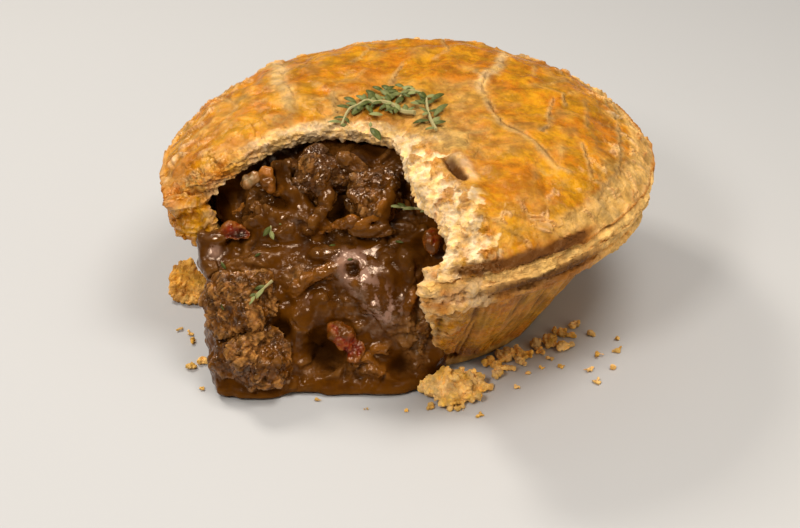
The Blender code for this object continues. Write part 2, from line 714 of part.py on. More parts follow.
def curve_points(corners, step):
    """Points along a smooth curve through corners, about step apart."""
    points = []
    for k in range(len(corners) - 1):
        p0 = Vector(corners[max(k - 1, 0)])
        p1 = Vector(corners[k])
        p2 = Vector(corners[k + 1])
        p3 = Vector(corners[min(k + 2, len(corners) - 1)])
        count = max(round((p2 - p1).length / step), 1)
        for i in range(count):
            t = i / count
            points.append(0.5 * (2 * p1 + (p2 - p0) * t + (2 * p0 - 5 * p1 + 4 * p2 - p3) * t * t
                                 + (3 * p1 - p0 - 3 * p2 + p3) * t ** 3))
    points.append(Vector(corners[-1]))
    return points


def fuse_parts(name, parts, finish):
    """One solid from many that cross, by a single union on a collection."""
    group = bpy.data.collections.new(name + "_parts")
    for part in parts[1:]:
        bpy.context.scene.collection.objects.unlink(part)
        group.objects.link(part)
    bpy.context.scene.collection.children.link(group)
    whole = parts[0]
    whole.name = name
    modifier = whole.modifiers.new("Union", "BOOLEAN")
    modifier.operation = "UNION"
    modifier.solver = "MANIFOLD"
    modifier.operand_type = "COLLECTION"
    modifier.collection = group
    apply_modifiers(whole)
    for part in list(group.objects):
        bpy.data.objects.remove(part)
    bpy.data.collections.remove(group)
    whole.data.materials.clear()
    whole.data.materials.append(material(finish))
    keep_largest(whole)
    return whole


def make_sprig():
    """The thyme sprig on the lid: three stems with leaves in opposite pairs."""
    parts = []
    number = 0
    for corners, radius in SPRIG_STEMS:
        height = 1.15 + radius
        raised = [(x, y, lid_height(x, y) + height) for x, y in corners]
        points = curve_points(raised, LEAF_PAIR_SPACING / 2)
        stem = bmesh.new()
        sweep(stem, points, lambda share, r=radius: r * (1 - 0.45 * share), 6)
        parts.append(add_object("stem", stem, "thyme_green"))
        for k in range(2, len(points), 2):
            along = points[min(k + 1, len(points) - 1)] - points[k - 1]
            heading = math.degrees(math.atan2(along.y, along.x))
            for side in (-1, 1):
                number += 1
                spread = side * (42 + 16 * noise.noise(Vector((number * 1.37, 0.4, 0))))
                length = LEAF_LENGTH * (1 + 0.3 * noise.noise(Vector((number * 0.83, 2.4, 0))))
                leaf = bmesh.new()
                add_leaf(leaf, points[k], heading + spread, 14, length)
                parts.append(add_object("leaf", leaf, "thyme_green"))
    return fuse_parts("thyme_sprig", parts, "thyme_green")


def make_thyme_bit(name, foot, heading, tilt, leaves):
    """A short bit of stem with a few leaves, or one leaf alone."""
    if leaves == 1:
        leaf = bmesh.new()
        add_leaf(leaf, foot, heading, tilt, LEAF_LENGTH * 1.25)
        return add_object(name, leaf, "thyme_green")
    length = 1.7 * leaves
    turn = Matrix.Rotation(math.radians(heading), 3, "Z") @ Matrix.Rotation(math.radians(-tilt), 3, "Y")
    start = Vector(foot)
    points = [start + turn @ Vector((length * k / 3, 0, 0)) for k in range(4)]
    stem = bmesh.new()
    sweep(stem, points, lambda share: 0.42 - 0.12 * share, 6)
    parts = [add_object("stem", stem, "thyme_green")]
    for k in range(leaves):
        side = 1 if k % 2 else -1
        spread = side * (34 - 6 * k)
        leaf = bmesh.new()
        add_leaf(leaf, start + turn @ Vector((length * (0.35 + 0.6 * k / leaves), 0, 0)),
                 heading + spread, tilt + 6, LEAF_LENGTH * 0.85)
        parts.append(add_object("leaf", leaf, "thyme_green"))
    return fuse_parts(name, parts, "thyme_green")


def make_crumbs():
    """Crust crumbs fused into the small heap at the stew's right foot."""
    bm = bmesh.new()
    for number, (centre, half_sizes) in enumerate(CRUMB_LUMPS):
        verts = add_blob(bm, centre, half_sizes, (0, 0, 37 * number))
        for vert in verts:
            x, y, z = vert.co
            vert.co += (vert.co - Vector(centre)).normalized() * 0.7 * fractal(x / 2.4, y / 2.4, z / 2.4, 2)
    clump = add_object("crumb_clump", bm, "crumb")
    fuse(clump, 0.8, 1)
    reduce_to(clump, CRUMB_TRIANGLES)
    press_flat(clump, 0.0)
    return clump


def fatter_copy(obj):
    """A copy of an object grown by the gap, to cut a seat for it."""
    copy = obj.copy()
    copy.data = obj.data.copy()
    copy.name = obj.name + "_seat"
    bpy.context.scene.collection.objects.link(copy)
    for vert in copy.data.vertices:
        vert.co += vert.normal * GAP * MM
    return copy


def main():
    for obj in list(bpy.data.objects):
        bpy.data.objects.remove(obj)
    lid = make_lid("pastry_lid", 0.0, "baked_lid")
    make_case("pastry_case", 0.0, "baked_case")
    pieces = [make_filling()]
    pieces += [make_beef(*chunk) for chunk in BEEF_CHUNKS]
    pieces += [make_strip(*strip) for strip in STRIPS]
    pieces.append(make_crumbs())
    seats = [make_case("case_seat", GAP, None), make_lid("lid_seat", GAP, None)]
    for piece in pieces:
        own_seat = fatter_copy(piece)
        for seat in seats:
            # The exact solver loses the stew where it fills the ruffled case.
            cut(piece, seat, "MANIFOLD" if piece is pieces[0] else "EXACT")
        seats.append(own_seat)
    for seat in seats:
        bpy.data.objects.remove(seat)
    settle(make_sprig(), [lid])
    for bit in THYME_BITS:
        settle(make_thyme_bit(*bit), [lid] + pieces)


main()
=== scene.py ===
"""Looks of a steak and ale pie: crust, stew, beef, vegetables, thyme and crumbs.

Lengths are millimetres unless a comment says metres, and MM turns them into metres. Angles are degrees.
The pie stands on its flat base at the origin, +Z is up, and the broken side faces -Y.
"""
import math

import bmesh
import bpy
import numpy as np
from bpy.props import FloatProperty, FloatVectorProperty, PointerProperty
from mathutils import Matrix, Vector
from mathutils.bvhtree import BVHTree


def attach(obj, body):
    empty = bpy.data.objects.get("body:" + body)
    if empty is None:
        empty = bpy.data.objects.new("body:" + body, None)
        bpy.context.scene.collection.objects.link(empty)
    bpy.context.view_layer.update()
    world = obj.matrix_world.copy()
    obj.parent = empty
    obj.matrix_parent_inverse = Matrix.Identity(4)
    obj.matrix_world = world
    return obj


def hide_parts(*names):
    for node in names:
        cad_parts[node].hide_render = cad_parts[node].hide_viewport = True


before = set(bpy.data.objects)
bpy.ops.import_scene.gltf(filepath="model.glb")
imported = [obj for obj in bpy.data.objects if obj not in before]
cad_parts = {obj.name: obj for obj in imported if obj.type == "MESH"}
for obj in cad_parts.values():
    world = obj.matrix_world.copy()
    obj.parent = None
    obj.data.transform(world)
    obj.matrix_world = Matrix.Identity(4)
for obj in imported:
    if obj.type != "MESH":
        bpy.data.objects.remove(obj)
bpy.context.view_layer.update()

bl_info = {
    "name": "Steak and Ale Pie",
    "version": (1, 0, 0),
    "blender": (4, 5, 0),
    "location": "View3D > Sidebar > Pie",
    "description": "Dresses a broken-open steak and ale pie",
    "category": "Object",
}

MM = 0.001

# The crust: where its parts lie, in plan unless a height is named
RIM_RADIUS = 62.5
SEAM_Z = 40.8
FLANGE_BOTTOM_Z = 31.4
# Edge of the lid's break, from its right end at the rim round the middle to its left end
LID_BREAK = (
    (5.6, -62.0), (8.2, -56.5), (9.2, -51.0), (6.4, -43.0), (2.6, -37.7), (0.4, -31.3), (-0.4, -25.5),
    (-0.8, -18.3), (-3.4, -10.6), (-9.1, -7.6), (-14.1, -6.0), (-19.0, -5.0), (-26.5, -5.6),
    (-33.9, -8.8), (-38.3, -11.4), (-42.5, -14.2), (-46.3, -16.2), (-50.0, -17.6), (-54.4, -16.8),
    (-60.0, -16.2))
# Where the glaze ends and bare torn pastry begins
GLAZE_EDGE = (
    (18.0, -66.0), (17.5, -59.0), (19.7, -53.9), (17.5, -47.6), (15.4, -41.9), (10.9, -35.4), (9.4, -28.1),
    (7.3, -20.7), (2.4, -11.6), (-5.3, -4.6), (-12.3, -2.6), (-20.2, -1.6), (-26.7, -2.6), (-33.4, -5.9),
    (-40.8, -9.5), (-46.0, -12.2), (-52.0, -13.0), (-66.0, -12.0))
# Splits in the glaze, as plan lines: half width, depth, points
LID_CRACKS = (
    (1.1, 0.9, ((27.9, 40.9), (25.2, 25.1), (23.2, 18.9), (20.9, 16.8), (19.3, 11.8), (21.3, 0.9),
                (23.3, -8.8), (27.1, -13.2), (30.9, -18.3), (33.3, -23.4), (35.4, -27.5), (38.9, -29.8))),
    (0.8, 0.7, ((18.4, 19.8), (20.4, 15.6))),
    (0.7, 0.9, ((37.8, 6.0), (35.9, -1.6), (35.9, -8.7), (33.4, -12.9))),
    (0.6, 0.8, ((41.1, 10.4), (40.6, 4.1))),
    (0.6, 0.9, ((43.1, -15.3), (43.8, -20.1), (43.8, -29.4))),
    (0.8, 0.4, ((46.4, 10.7), (45.5, -6.3))),
    (0.7, 0.5, ((35.2, 28.1), (33.3, 20.4))),
    (1.7, 0.8, ((-35.0, 38.0), (-33.0, 31.0), (-33.4, 21.7), (-30.4, 10.9), (-29.3, 2.4))),
    (0.7, 0.8, ((-18.4, 9.6), (-17.9, 0.8))),
    (0.7, 0.8, ((-0.6, 27.3), (-3.6, 14.6))),
    (0.8, 0.8, ((50.0, 32.0), (54.4, 4.7), (53.6, -6.8), (51.3, -24.0), (45.0, -36.0))),
    (0.7, 0.6, ((-12.0, 52.0), (-9.0, 38.0), (-14.0, 28.0))),
    (0.8, 0.7, ((10.0, 50.0), (12.0, 36.0), (8.0, 29.0))),
    (0.7, 0.6, ((-48.0, 22.0), (-44.0, 12.0), (-47.0, 3.0))))
# The steam hole, a fold that is deepest at its near end: its plan line, half width and depth
STEAM_HOLE = (((9.1, -26.1), (10.6, -29.9), (12.8, -34.5)), 1.15, 3.2)
# The bare ridge on the far side of the steam hole, as a plan line
HOLE_RIDGE = ((12.0, -26.5), (14.0, -30.5), (15.6, -34.5))
# The case's two ends at the break, as plan lines
CASE_ENDS = (((-62.0, -17.0), (-50.0, -18.0)), ((4.5, -64.0), (8.5, -50.0), (3.0, -36.0)))
# Bare pastry on the case below the right end of the tear: centre, reach each way
TORN_END = ((11.0, -60.0, 37.5), (10.0, 7.0, 7.5))
# The groove between the lid and the case, toasted brown and darkened with painted shade, as a plan line
SEAM_GROOVE = ((15.0, -60.5), (24.2, -57.2), (30.9, -53.5), (38.0, -48.0))
GROOVE_Z = 46.0
# The bare, pale part of the lid round the steam hole and the sprig, as plan centre and reach
PALE_PATCHES = (((9.0, -14.0), 13.0), ((14.0, 4.0), 8.0), ((3.0, -2.0), 9.0), ((-16.0, -2.0), 5.0))
# Browner spots of the glaze, the same
DARK_SPOTS = (((-30.6, -3.5), 3.4), ((-10.0, 14.0), 9.0), ((26.0, -40.0), 8.0), ((-44.0, -9.0), 4.0))

# The stew
# Hollows sunk into the stew and darkened with painted shade: centre, reach, depth
STEW_HOLLOWS = (
    ((-25.5, -17.0, 47.0), 2.4, 3.0), ((-17.0, -20.5, 37.5), 3.2, 3.2), ((-14.6, -33.2, 29.3), 1.5, 2.4),
    ((-22.5, -40.8, 10.0), 4.2, 4.2), ((-41.5, -24.0, 35.0), 2.2, 2.2), ((-46.7, -9.0, 37.0), 4.4, 3.0),
    ((-3.0, -41.5, 6.0), 2.6, 2.6), ((-33.0, -38.5, 16.0), 2.4, 2.2), ((-8.0, -9.5, 50.0), 2.6, 2.4),
    ((2.5, -29.0, 35.5), 2.2, 2.2))
# Smooth folds of thick gravy: centre, half sizes
GRAVY_FOLDS = (
    ((-5.0, -37.5, 17.5), (4.4, 3.2, 5.2)), ((-51.5, -21.6, 32.0), (2.6, 2.6, 3.0)),
    ((-47.6, -22.4, 33.6), (2.6, 2.2, 2.2)), ((-50.6, -26.0, 28.0), (2.2, 2.6, 3.0)),
    ((-48.8, -28.0, 25.5), (2.6, 2.8, 4.2)), ((-30.0, -22.0, 34.0), (7.0, 2.6, 2.6)),
    ((-9.0, -26.5, 36.4), (6.5, 2.2, 1.8)), ((-17.0, -28.0, 31.0), (9.0, 3.0, 2.2)),
    ((-22.0, -36.0, 19.5), (3.6, 3.0, 6.0)), ((-38.0, -26.5, 29.5), (6.0, 3.0, 2.6)),
    ((-14.5, -33.5, 22.0), (3.0, 3.0, 4.0)))
# Thick gravy-coated pieces: half thickness, points
GRAVY_RIDGES = (
    (3.4, ((-30.0, -13.5, 47.0), (-28.5, -16.5, 43.0), (-26.5, -19.5, 38.5))),
    (2.4, ((-22.0, -17.5, 47.0), (-20.0, -20.0, 43.0), (-21.5, -22.5, 38.5), (-25.0, -24.0, 36.0))),
    (2.6, ((-15.5, -14.5, 50.0), (-11.5, -16.5, 47.5), (-8.5, -19.0, 43.5))),
    (2.3, ((-8.0, -19.0, 47.0), (-5.0, -22.0, 43.0), (-6.5, -24.5, 39.5))),
    (1.8, ((-38.0, -19.0, 40.0), (-34.0, -20.5, 38.5), (-29.0, -20.5, 38.0))),
    (2.0, ((0.5, -33.0, 27.0), (-1.5, -36.0, 22.0), (-1.0, -38.5, 16.0))))
# The broad fold that shines most, with a painted sheen on it: its centre, half sizes, the way it runs and
# the way it faces
WET_FOLD = ((-10.4, -35.0, 25.6), (9.5, 4.8, 1.7), (0.587, -0.475, -0.657), (-0.2, -0.72, 0.66))
# Smaller places that shine, with a painted sheen on them: centre, reach
WET_PLACES = (
    ((-50.8, -22.0, 31.6), 3.4), ((-48.6, -25.4, 31.0), 2.6), ((-28.1, -21.9, 37.6), 1.8),
    ((-12.1, -21.9, 38.6), 1.8), ((-24.5, -36.0, 22.5), 1.8), ((-38.0, -26.0, 30.5), 1.6))
# Strands of meat and onion under the gravy: half thickness, points
STEW_STRANDS = (
    (1.3, ((-23.5, -24.0, 33.2), (-19.6, -24.2, 36.6), (-16.0, -25.4, 38.6), (-12.0, -26.4, 38.4),
           (-9.0, -26.4, 40.6), (-6.6, -25.0, 43.5))),
    (1.8, ((-29.0, -34.2, 24.0), (-26.0, -33.6, 27.0), (-22.5, -33.0, 28.6), (-19.5, -32.6, 29.6))),
    (1.6, ((-11.6, -42.2, 8.8), (-9.2, -43.0, 6.6), (-6.8, -43.2, 5.2))),
    (1.2, ((-17.0, -31.6, 30.6), (-15.6, -32.0, 30.2))),
    (0.9, ((-6.4, -38.0, 15.0), (-4.2, -37.4, 18.0))),
    (1.3, ((-13.4, -34.8, 26.8), (-12.6, -35.2, 25.6))),
    (1.1, ((-9.0, -40.8, 10.6), (-7.0, -40.8, 10.8))),
    (1.0, ((-33.5, -15.8, 41.4), (-31.0, -17.4, 44.0))),
    (1.0, ((-44.0, -18.6, 38.0), (-41.5, -18.0, 40.0))))
# Where the gravy lies thick and smooth: centre, reach
GLOSSY_PLACES = (
    ((-11.0, -34.0, 27.0), 7.0), ((-6.0, -37.0, 21.0), 6.0), ((-51.0, -24.0, 30.0), 5.0),
    ((-26.0, -20.0, 42.0), 4.5), ((-5.0, -24.0, 42.0), 5.0), ((-30.0, -27.0, 31.0), 6.0),
    ((-24.0, -38.0, 20.0), 6.0), ((-44.0, -46.0, 4.0), 5.0))
# Where crumbly meat shows through the gravy: centre, reach
MEATY_PLACES = (((0.5, -38.0, 16.0), 7.5), ((-28.0, -30.0, 27.0), 4.0))
# Short shreds scattered in the gravy
SHRED_COUNT = 110
SHRED_SEED = 5
TO_CAMERA = np.array([0, -0.84, 0.54])
# How much of each chunk of beef the gravy covers
BEEF_COATING = {
    "beef_upper_left": 0.85, "beef_upper_right": 0.75, "beef_left": 0.2, "beef_front": 0.3,
    "beef_right": 0.0}
# How far inside the chunks of beef the stew reaches
BEEF_SUNK = 0.7
# The finish of each vegetable
VEGETABLES = {
    "pepper_front": "red_pepper", "pepper_left": "red_pepper", "pepper_right": "red_pepper",
    "carrot_strip": "cooked_carrot", "carrot_slice": "cooked_carrot", "carrot_edge": "cooked_carrot",
    "onion_piece": "cooked_onion", "onion_strand": "cooked_carrot"}

# Where a vegetable curls round a hollow that is darkened with painted shade: centre, reach, depth
CURLS = {
    "pepper_left": ((-42.0, -25.2, 35.4), 3.0, 2.0), "pepper_front": ((-16.5, -41.4, 11.5), 2.6, 1.8),
    "pepper_right": ((2.6, -27.5, 36.5), 1.6, 1.0)}

# Thyme: stems on the lid in plan with the half thickness at the cut end
SPRIG_STEMS = (
    (0.62, ((2.2, -4.8), (-0.7, -2.3), (-3.6, 0.2), (-5.9, 1.3), (-8.1, 1.2), (-10.0, 2.2), (-12.0, 0.7),
            (-14.5, -0.6), (-16.4, -5.4))),
    (0.45, ((7.3, -14.3), (6.1, -8.3), (5.4, -2.2), (5.1, 3.1), (2.8, 5.1), (-0.2, 4.8), (-2.5, 0.6))),
    (0.4, ((-3.6, 0.2), (-4.4, 3.2), (-5.0, 5.6), (-5.6, 8.0))))
# Points of a rounded stem for each of its corners
STEM_STEPS = 4
# The sprig's small leaves stand on every third point of a stem
LEAF_SPACING = 3
LEAF_SEED = 2
# A leaf: rings along it, points round each ring, how high it arches as a share of its length
LEAF_RINGS = 10
LEAF_SIDES = 10
LEAF_ARCH = 0.14
# The sprig's larger leaves in plan: foot, tip, width, how pale
SPRIG_LEAVES = (
    ((-12.9, 2.6), (-15.7, 6.1), 1.9, 0.4), ((-13.6, -2.1), (-10.4, 1.8), 2.6, 0.2),
    ((-16.3, -4.3), (-19.6, -5.3), 1.5, 0.7), ((-15.8, -5.7), (-15.5, -10.4), 1.7, 0.5),
    ((-7.2, 1.8), (-10.0, 8.3), 2.0, 0.2), ((-5.9, -3.0), (-9.3, -3.7), 1.8, 0.9),
    ((-3.8, 7.4), (-6.0, 12.0), 1.9, 0.3), ((-3.8, 3.6), (-6.3, 7.6), 1.9, 0.6),
    ((-1.5, 3.9), (-3.8, 6.5), 1.6, 0.1), ((-2.5, 0.6), (-0.4, 3.4), 1.9, 0.0),
    ((-0.5, 8.7), (-2.6, 11.8), 1.6, 0.5), ((2.4, 6.1), (-0.8, 7.3), 2.4, 0.9),
    ((6.6, 2.0), (9.9, 6.2), 2.0, 0.3), ((7.0, -7.0), (10.6, -1.1), 1.9, 0.5),
    ((4.1, -0.2), (1.2, -0.1), 1.6, 0.7), ((4.5, 0.7), (4.4, 5.4), 1.8, 0.0),
    ((5.6, -9.2), (1.6, -8.1), 1.7, 0.1), ((-9.8, 2.0), (-12.6, 5.4), 1.6, 0.6),
    ((-10.2, 1.2), (-8.4, -3.2), 1.5, 0.3), ((-12.4, 0.4), (-14.6, 3.2), 1.6, 0.2),
    ((-5.4, 1.2), (-3.4, -2.8), 1.5, 0.5), ((5.8, -5.0), (9.4, -4.6), 1.5, 0.2),
    ((6.8, -11.6), (9.8, -9.6), 1.6, 0.4), ((7.2, -13.6), (4.6, -13.2), 1.3, 0.6),
    ((0.4, 4.9), (1.8, 8.4), 1.6, 0.3), ((-5.2, 6.4), (-2.4, 9.0), 1.5, 0.1))
# Bits of thyme: foot, heading and tilt of the stem, length, leaves as share of the length, side, length
THYME_BITS = {
    "thyme_front": ((-34.0, -35.2, 28.2), 208, -30, 8.2, (
        (0.25, -34, 3.2), (0.35, 26, 3.4), (0.6, -24, 3.0), (0.7, 30, 2.8), (0.95, -12, 2.8),
        (0.95, 16, 2.4))),
    "thyme_right": ((6.2, -25.4, 41.4), 172, 2, 8.4, (
        (0.05, -50, 2.8), (0.1, 40, 3.0), (0.3, -36, 2.4), (0.55, 24, 3.2), (0.8, -28, 2.8),
        (0.95, 6, 3.0))),
    "thyme_left": ((-34.0, -20.2, 39.0), 262, -40, 5.6, (
        (0.2, -70, 3.4), (0.35, 62, 3.0), (0.7, -30, 3.2), (0.9, 24, 2.6))),
    "thyme_leaf": ((-9.0, -11.2, 57.4), 300, -16, 1.2, ((0.3, -4, 5.4), (0.1, 150, 1.6)))}
# Single leaves stuck to the gravy: place, heading, length
THYME_FLECKS = (
    ((-20.0, -28.0, 33.0), 35, 2.6), ((-8.0, -26.0, 38.0), 60, 1.8), ((-1.5, -28.5, 33.5), 150, 2.4),
    ((-46.5, -35.0, 22.0), 255, 3.4), ((-45.8, -30.0, 28.5), 100, 2.2), ((-38.5, -29.0, 31.0), 40, 1.8),
    ((-14.0, -30.5, 31.0), 200, 1.4))

# Crumbs on the table: place in plan and size
CRUMBS = (
    (22.1, -38.1, 2.6), (23.8, -31.9, 3.0), (27.4, -33.1, 2.2), (34.5, -24.7, 3.2), (38.0, -21.6, 2.6),
    (43.1, -17.5, 2.0), (32.9, -29.0, 1.6), (39.7, -27.5, 2.2), (35.1, -32.6, 1.1), (48.1, -31.0, 1.5),
    (45.9, -42.5, 1.3), (31.0, -26.0, 2.2), (20.4, -34.6, 2.8), (19.1, -44.5, 1.8), (4.0, -51.2, 1.1),
    (11.2, -52.0, 1.5), (-23.8, -47.0, 0.9), (-60.8, -14.9, 1.0), (-57.4, -20.9, 1.5), (-56.1, -32.0, 1.6),
    (-53.6, -29.4, 1.5), (-58.0, -17.0, 1.0), (-53.0, -41.0, 1.0), (26.0, -44.0, 0.9), (53.0, -24.0, 1.0),
    (29.0, -38.0, 1.0), (16.0, -55.0, 1.0), (-2.0, -52.6, 0.7), (-12.0, -51.4, 0.6), (38.0, -36.0, 0.8),
    (26.2, -28.6, 2.4), (29.0, -30.4, 1.8), (36.6, -25.6, 2.2), (41.4, -22.4, 1.4), (24.6, -35.8, 1.8),
    (44.5, -37.5, 1.5), (51.0, -36.5, 1.0), (52.6, -29.0, 1.2), (33.0, -36.0, 0.8), (47.0, -22.0, 0.9))
CRUMB_SEED = 3
# Lumps in one crumb, and lumps on the clump's solid
CRUMB_LUMPS = 6
CLUMP_LUMPS = 46
# The golden flake that stands against the left foot: centre, half sizes, heading, lean
FOOT_FLAKE = (
    ((-60.4, 2.8, 4.0), (4.4, 1.0, 5.2), 15, -48), ((-57.8, 1.0, 3.4), (3.0, 1.0, 4.2), -20, -40),
    ((-62.4, 0.6, 1.8), (2.6, 1.2, 2.8), 40, -60), ((-59.6, 3.8, 7.0), (2.8, 0.8, 2.2), 5, -36),
    ((-58.8, -1.6, 1.0), (3.4, 2.2, 0.9), 0, 0))

# Colours of the shine
CRUST_SHINE = (1.0, 0.72, 0.36, 1.0)
GRAVY_SHINE = (1.0, 0.74, 0.55, 1.0)
VEGETABLE_SHINE = (1.0, 0.75, 0.55, 1.0)
THYME_SHINE = (1.0, 1.0, 0.6, 1.0)

# Size of the cells that each piece is melted in, and the share of faces kept where it is hidden
MELT_CELL = {"lid": 0.46, "case": 0.53, "stew_base": 0.9, "stew": 0.41, "beef": 0.3, "vegetable": 0.22,
             "clump": 0.3, "crumbs": 0.28, "foot_flake": 0.3}
HIDDEN_SHARE = {"lid": 0.7, "case": 0.5, "stew": 0.4}

# Lights: size in metres, place, colour
LIGHTS = {
    "key": (0.12, (-250, 240, 400), (1.0, 0.95, 0.87)), "top": (0.2, (140, -90, 500), (1.0, 0.97, 0.92)),
    "fill": (0.12, (-220, -330, 420), (1.0, 0.97, 0.93)), "low": (0.2, (330, -260, 130), (1.0, 0.84, 0.6))}
# The place that they face, and the floor's half width and height, in metres
LIGHT_TARGET = (0, -0.01, 0.02)
FLOOR_HALF = 3.0
FLOOR_Z = -0.0002
# Where the surroundings are brightest
SKY_AIM = (0.1, 0.1, 0.99)
SKY_COLOUR = (1.0, 0.98, 0.95, 1.0)
# The camera
CAMERA_TARGET = (-2.5, -13.5, 18.0)
CAMERA_DISTANCE = 500.0
CAMERA_ELEVATION = 33.0
CAMERA_ROLL = -1.5
CAMERA_LENS = 87.03


# ---------------------------------------------------------------- numbers over points

def smoothstep(low, high, value):
    """0 below low, 1 above high, with a smooth ramp between."""
    share = np.clip((value - low) / (high - low), 0, 1)
    return share * share * (3 - 2 * share)


NOISE_TABLE = np.random.default_rng(7).permutation(256)
NOISE_TABLE = np.concatenate([NOISE_TABLE, NOISE_TABLE])
NOISE_SLOPES = np.random.default_rng(11).normal(size=(256, 3))
NOISE_SLOPES /= np.linalg.norm(NOISE_SLOPES, axis=1)[:, None]
CELL_POINTS = np.random.default_rng(13).random((256, 4))


def lattice(base, seed):
    """A table row from 0 to 255 for each whole-numbered place."""
    x, y, z = (base[:, k] & 255 for k in range(3))
    return NOISE_TABLE[NOISE_TABLE[NOISE_TABLE[(x + seed) & 255] + y] + z]


def soft_noise(points, size, seed):
    """Smooth noise of about -1 to 1, with lumps as wide as size."""
    p = points / size
    base = np.floor(p).astype(np.int64)
    f = p - base
    w = f * f * f * (f * (f * 6 - 15) + 10)
    total = np.zeros(len(p))
    for corner in np.ndindex(2, 2, 2):
        offset = np.array(corner)
        slope = NOISE_SLOPES[lattice(base + offset, seed)]
        reach = np.prod(np.where(offset, w, 1 - w), axis=1)
        total += reach * np.sum(slope * (f - offset), axis=1)
    return total * 1.6


def layered_noise(points, size, octaves, seed, fold=np.positive):
    """Noise with finer and finer lumps on top of the wide ones."""
    total = np.zeros(len(points))
    for octave in range(octaves):
        total += fold(soft_noise(points, size / 2 ** octave, seed + 17 * octave)) / 2 ** octave
    return total


def billow(points, size, octaves, seed):
    """Rounded lumps with sharp creases, about 0 to 1, with finer ones on top."""
    return layered_noise(points, size, octaves, seed, np.abs)


def ringed(co):
    """Places as length round the rim from the front, radius and height."""
    x, y, z = co.T
    return np.column_stack((np.arctan2(x, -y) * RIM_RADIUS, np.hypot(x, y), z))


def drifts(co):
    """Two noises that make the crust's borders ragged: a wide one and a fine one."""
    return layered_noise(co, 6.0, 3, 3), layered_noise(co, 1.6, 2, 5)


def cells(points, size, seed):
    """Scattered cells: distance to a cell's middle, to its border, in cell widths, and its own number."""
    p = points / size
    base = np.floor(p).astype(np.int64)
    first = np.full(len(p), 9.0)
    second = np.full(len(p), 9.0)
    number = np.zeros(len(p))
    for corner in np.ndindex(3, 3, 3):
        cell = base + np.array(corner) - 1
        row = CELL_POINTS[lattice(cell, seed)]
        distance = np.linalg.norm(cell + row[:, :3] - p, axis=1)
        nearer = distance < first
        second = np.where(nearer, first, np.minimum(second, distance))
        number = np.where(nearer, row[:, 3], number)
        first = np.where(nearer, distance, first)
    return first, second - first, number


def line_distance(x, y, line):
    """Distance in plan to a line of points."""
    best = np.full(len(x), 1e3)
    for (ax, ay), (bx, by) in zip(line, line[1:]):
        length = (bx - ax) ** 2 + (by - ay) ** 2
        share = np.clip(((x - ax) * (bx - ax) + (y - ay) * (by - ay)) / length, 0, 1)
        best = np.minimum(best, np.hypot(ax + share * (bx - ax) - x, ay + share * (by - ay) - y))
    return best


def slanted(co):
    """Places on the rim for scales that overlap on a slant: one unit is one scale."""
    run, radius, z = ringed(co).T
    return np.column_stack(((run + 1.6 * z) / 3.6, radius / 3.0, z / 1.3))


def sheets(co, thickness, seed):
    """Ragged sheets lying flat in torn pastry, each standing out by its own share of 0 to 1."""
    level = (co[:, 2] + 1.1 * soft_noise(co, 7.0, seed) + 0.5 * soft_noise(co, 2.2, seed + 1)) / thickness
    number = CELL_POINTS[np.floor(level).astype(np.int64) & 255, 0]
    return 0.5 * (level % 1) + 0.5 * number


def path_distance(co, points):
    """Distance to a line of points in space."""
    best = np.full(len(co), 1e3)
    points = np.array(points)
    for a, along in zip(points, np.diff(points, axis=0)):
        share = np.clip((co - a) @ along / (along @ along), 0, 1)
        best = np.minimum(best, np.linalg.norm(co - a - share[:, None] * along, axis=1))
    return best


def inside(x, y, outline):
    """Whether points lie inside a closed plan outline."""
    result = np.zeros(len(x), bool)
    for (ax, ay), (bx, by) in zip(outline, outline[1:] + outline[:1]):
        if ay != by:
            result ^= ((ay > y) != (by > y)) & (x < ax + (y - ay) * (bx - ax) / (by - ay))
    return result


def past_line(x, y, line):
    """Distance in plan past a line across the pie: positive on the baked side, negative in the break."""
    broken = line + ((-90.0, line[-1][1]), (-90.0, -90.0), (line[0][0], -90.0))
    distance = line_distance(x, y, line)
    return np.where(inside(x, y, broken), -distance, distance)


def bump(distance, reach):
    """1 at distance 0, fading to nothing past reach."""
    return np.exp(-(distance / reach) ** 2)


def near_places(co, places, ragged=0.0):
    """1 at any of the places, each a centre and a reach, fading to nothing away from them."""
    near = [bump(np.linalg.norm(co - centre, axis=1) + ragged, reach) for centre, reach in places]
    return np.max(near, axis=0)


def near_spots(x, y, spots, ragged):
    """The same in plan, for spots that are each a plan centre and a reach."""
    return np.max([bump(np.hypot(x - cx, y - cy) + ragged, reach) for (cx, cy), reach in spots], axis=0)


# ---------------------------------------------------------------- meshes

def read_mesh(obj):
    """An object's points in millimetres and their normals."""
    mesh = obj.data
    count = len(mesh.vertices)
    co = np.empty(count * 3, np.float32)
    mesh.vertices.foreach_get("co", co)
    normal = np.empty(count * 3, np.float32)
    mesh.vertex_normals.foreach_get("vector", normal)
    return co.reshape(-1, 3).astype(float) / MM, normal.reshape(-1, 3).astype(float)


def write_mesh(obj, co):
    """Put millimetre points back into an object's mesh, above the table, and read its new normals."""
    co[:, 2] = np.maximum(co[:, 2], 0.0)
    obj.data.vertices.foreach_set("co", (co * MM).astype(np.float32).ravel())
    obj.data.update()
    return read_mesh(obj)[1]


def store(obj, name, values):
    """Keep a number for each point, for the materials."""
    layer = obj.data.attributes.new(name, "FLOAT", "POINT")
    layer.data.foreach_set("value", np.clip(values, -1, 1).astype(np.float32))


def relax(obj, co, rounds, strength=0.5):
    """Ease points towards the middle of their neighbours."""
    edges = np.empty(len(obj.data.edges) * 2, np.int32)
    obj.data.edges.foreach_get("vertices", edges)
    a, b = edges.reshape(-1, 2).T
    count = len(co)
    links = np.maximum(np.bincount(a, minlength=count) + np.bincount(b, minlength=count), 1)[:, None]
    for _ in range(rounds):
        total = np.empty_like(co)
        for k in range(co.shape[1]):
            total[:, k] = np.bincount(a, co[b, k], count) + np.bincount(b, co[a, k], count)
        co = co + strength * (total / links - co)
    return co


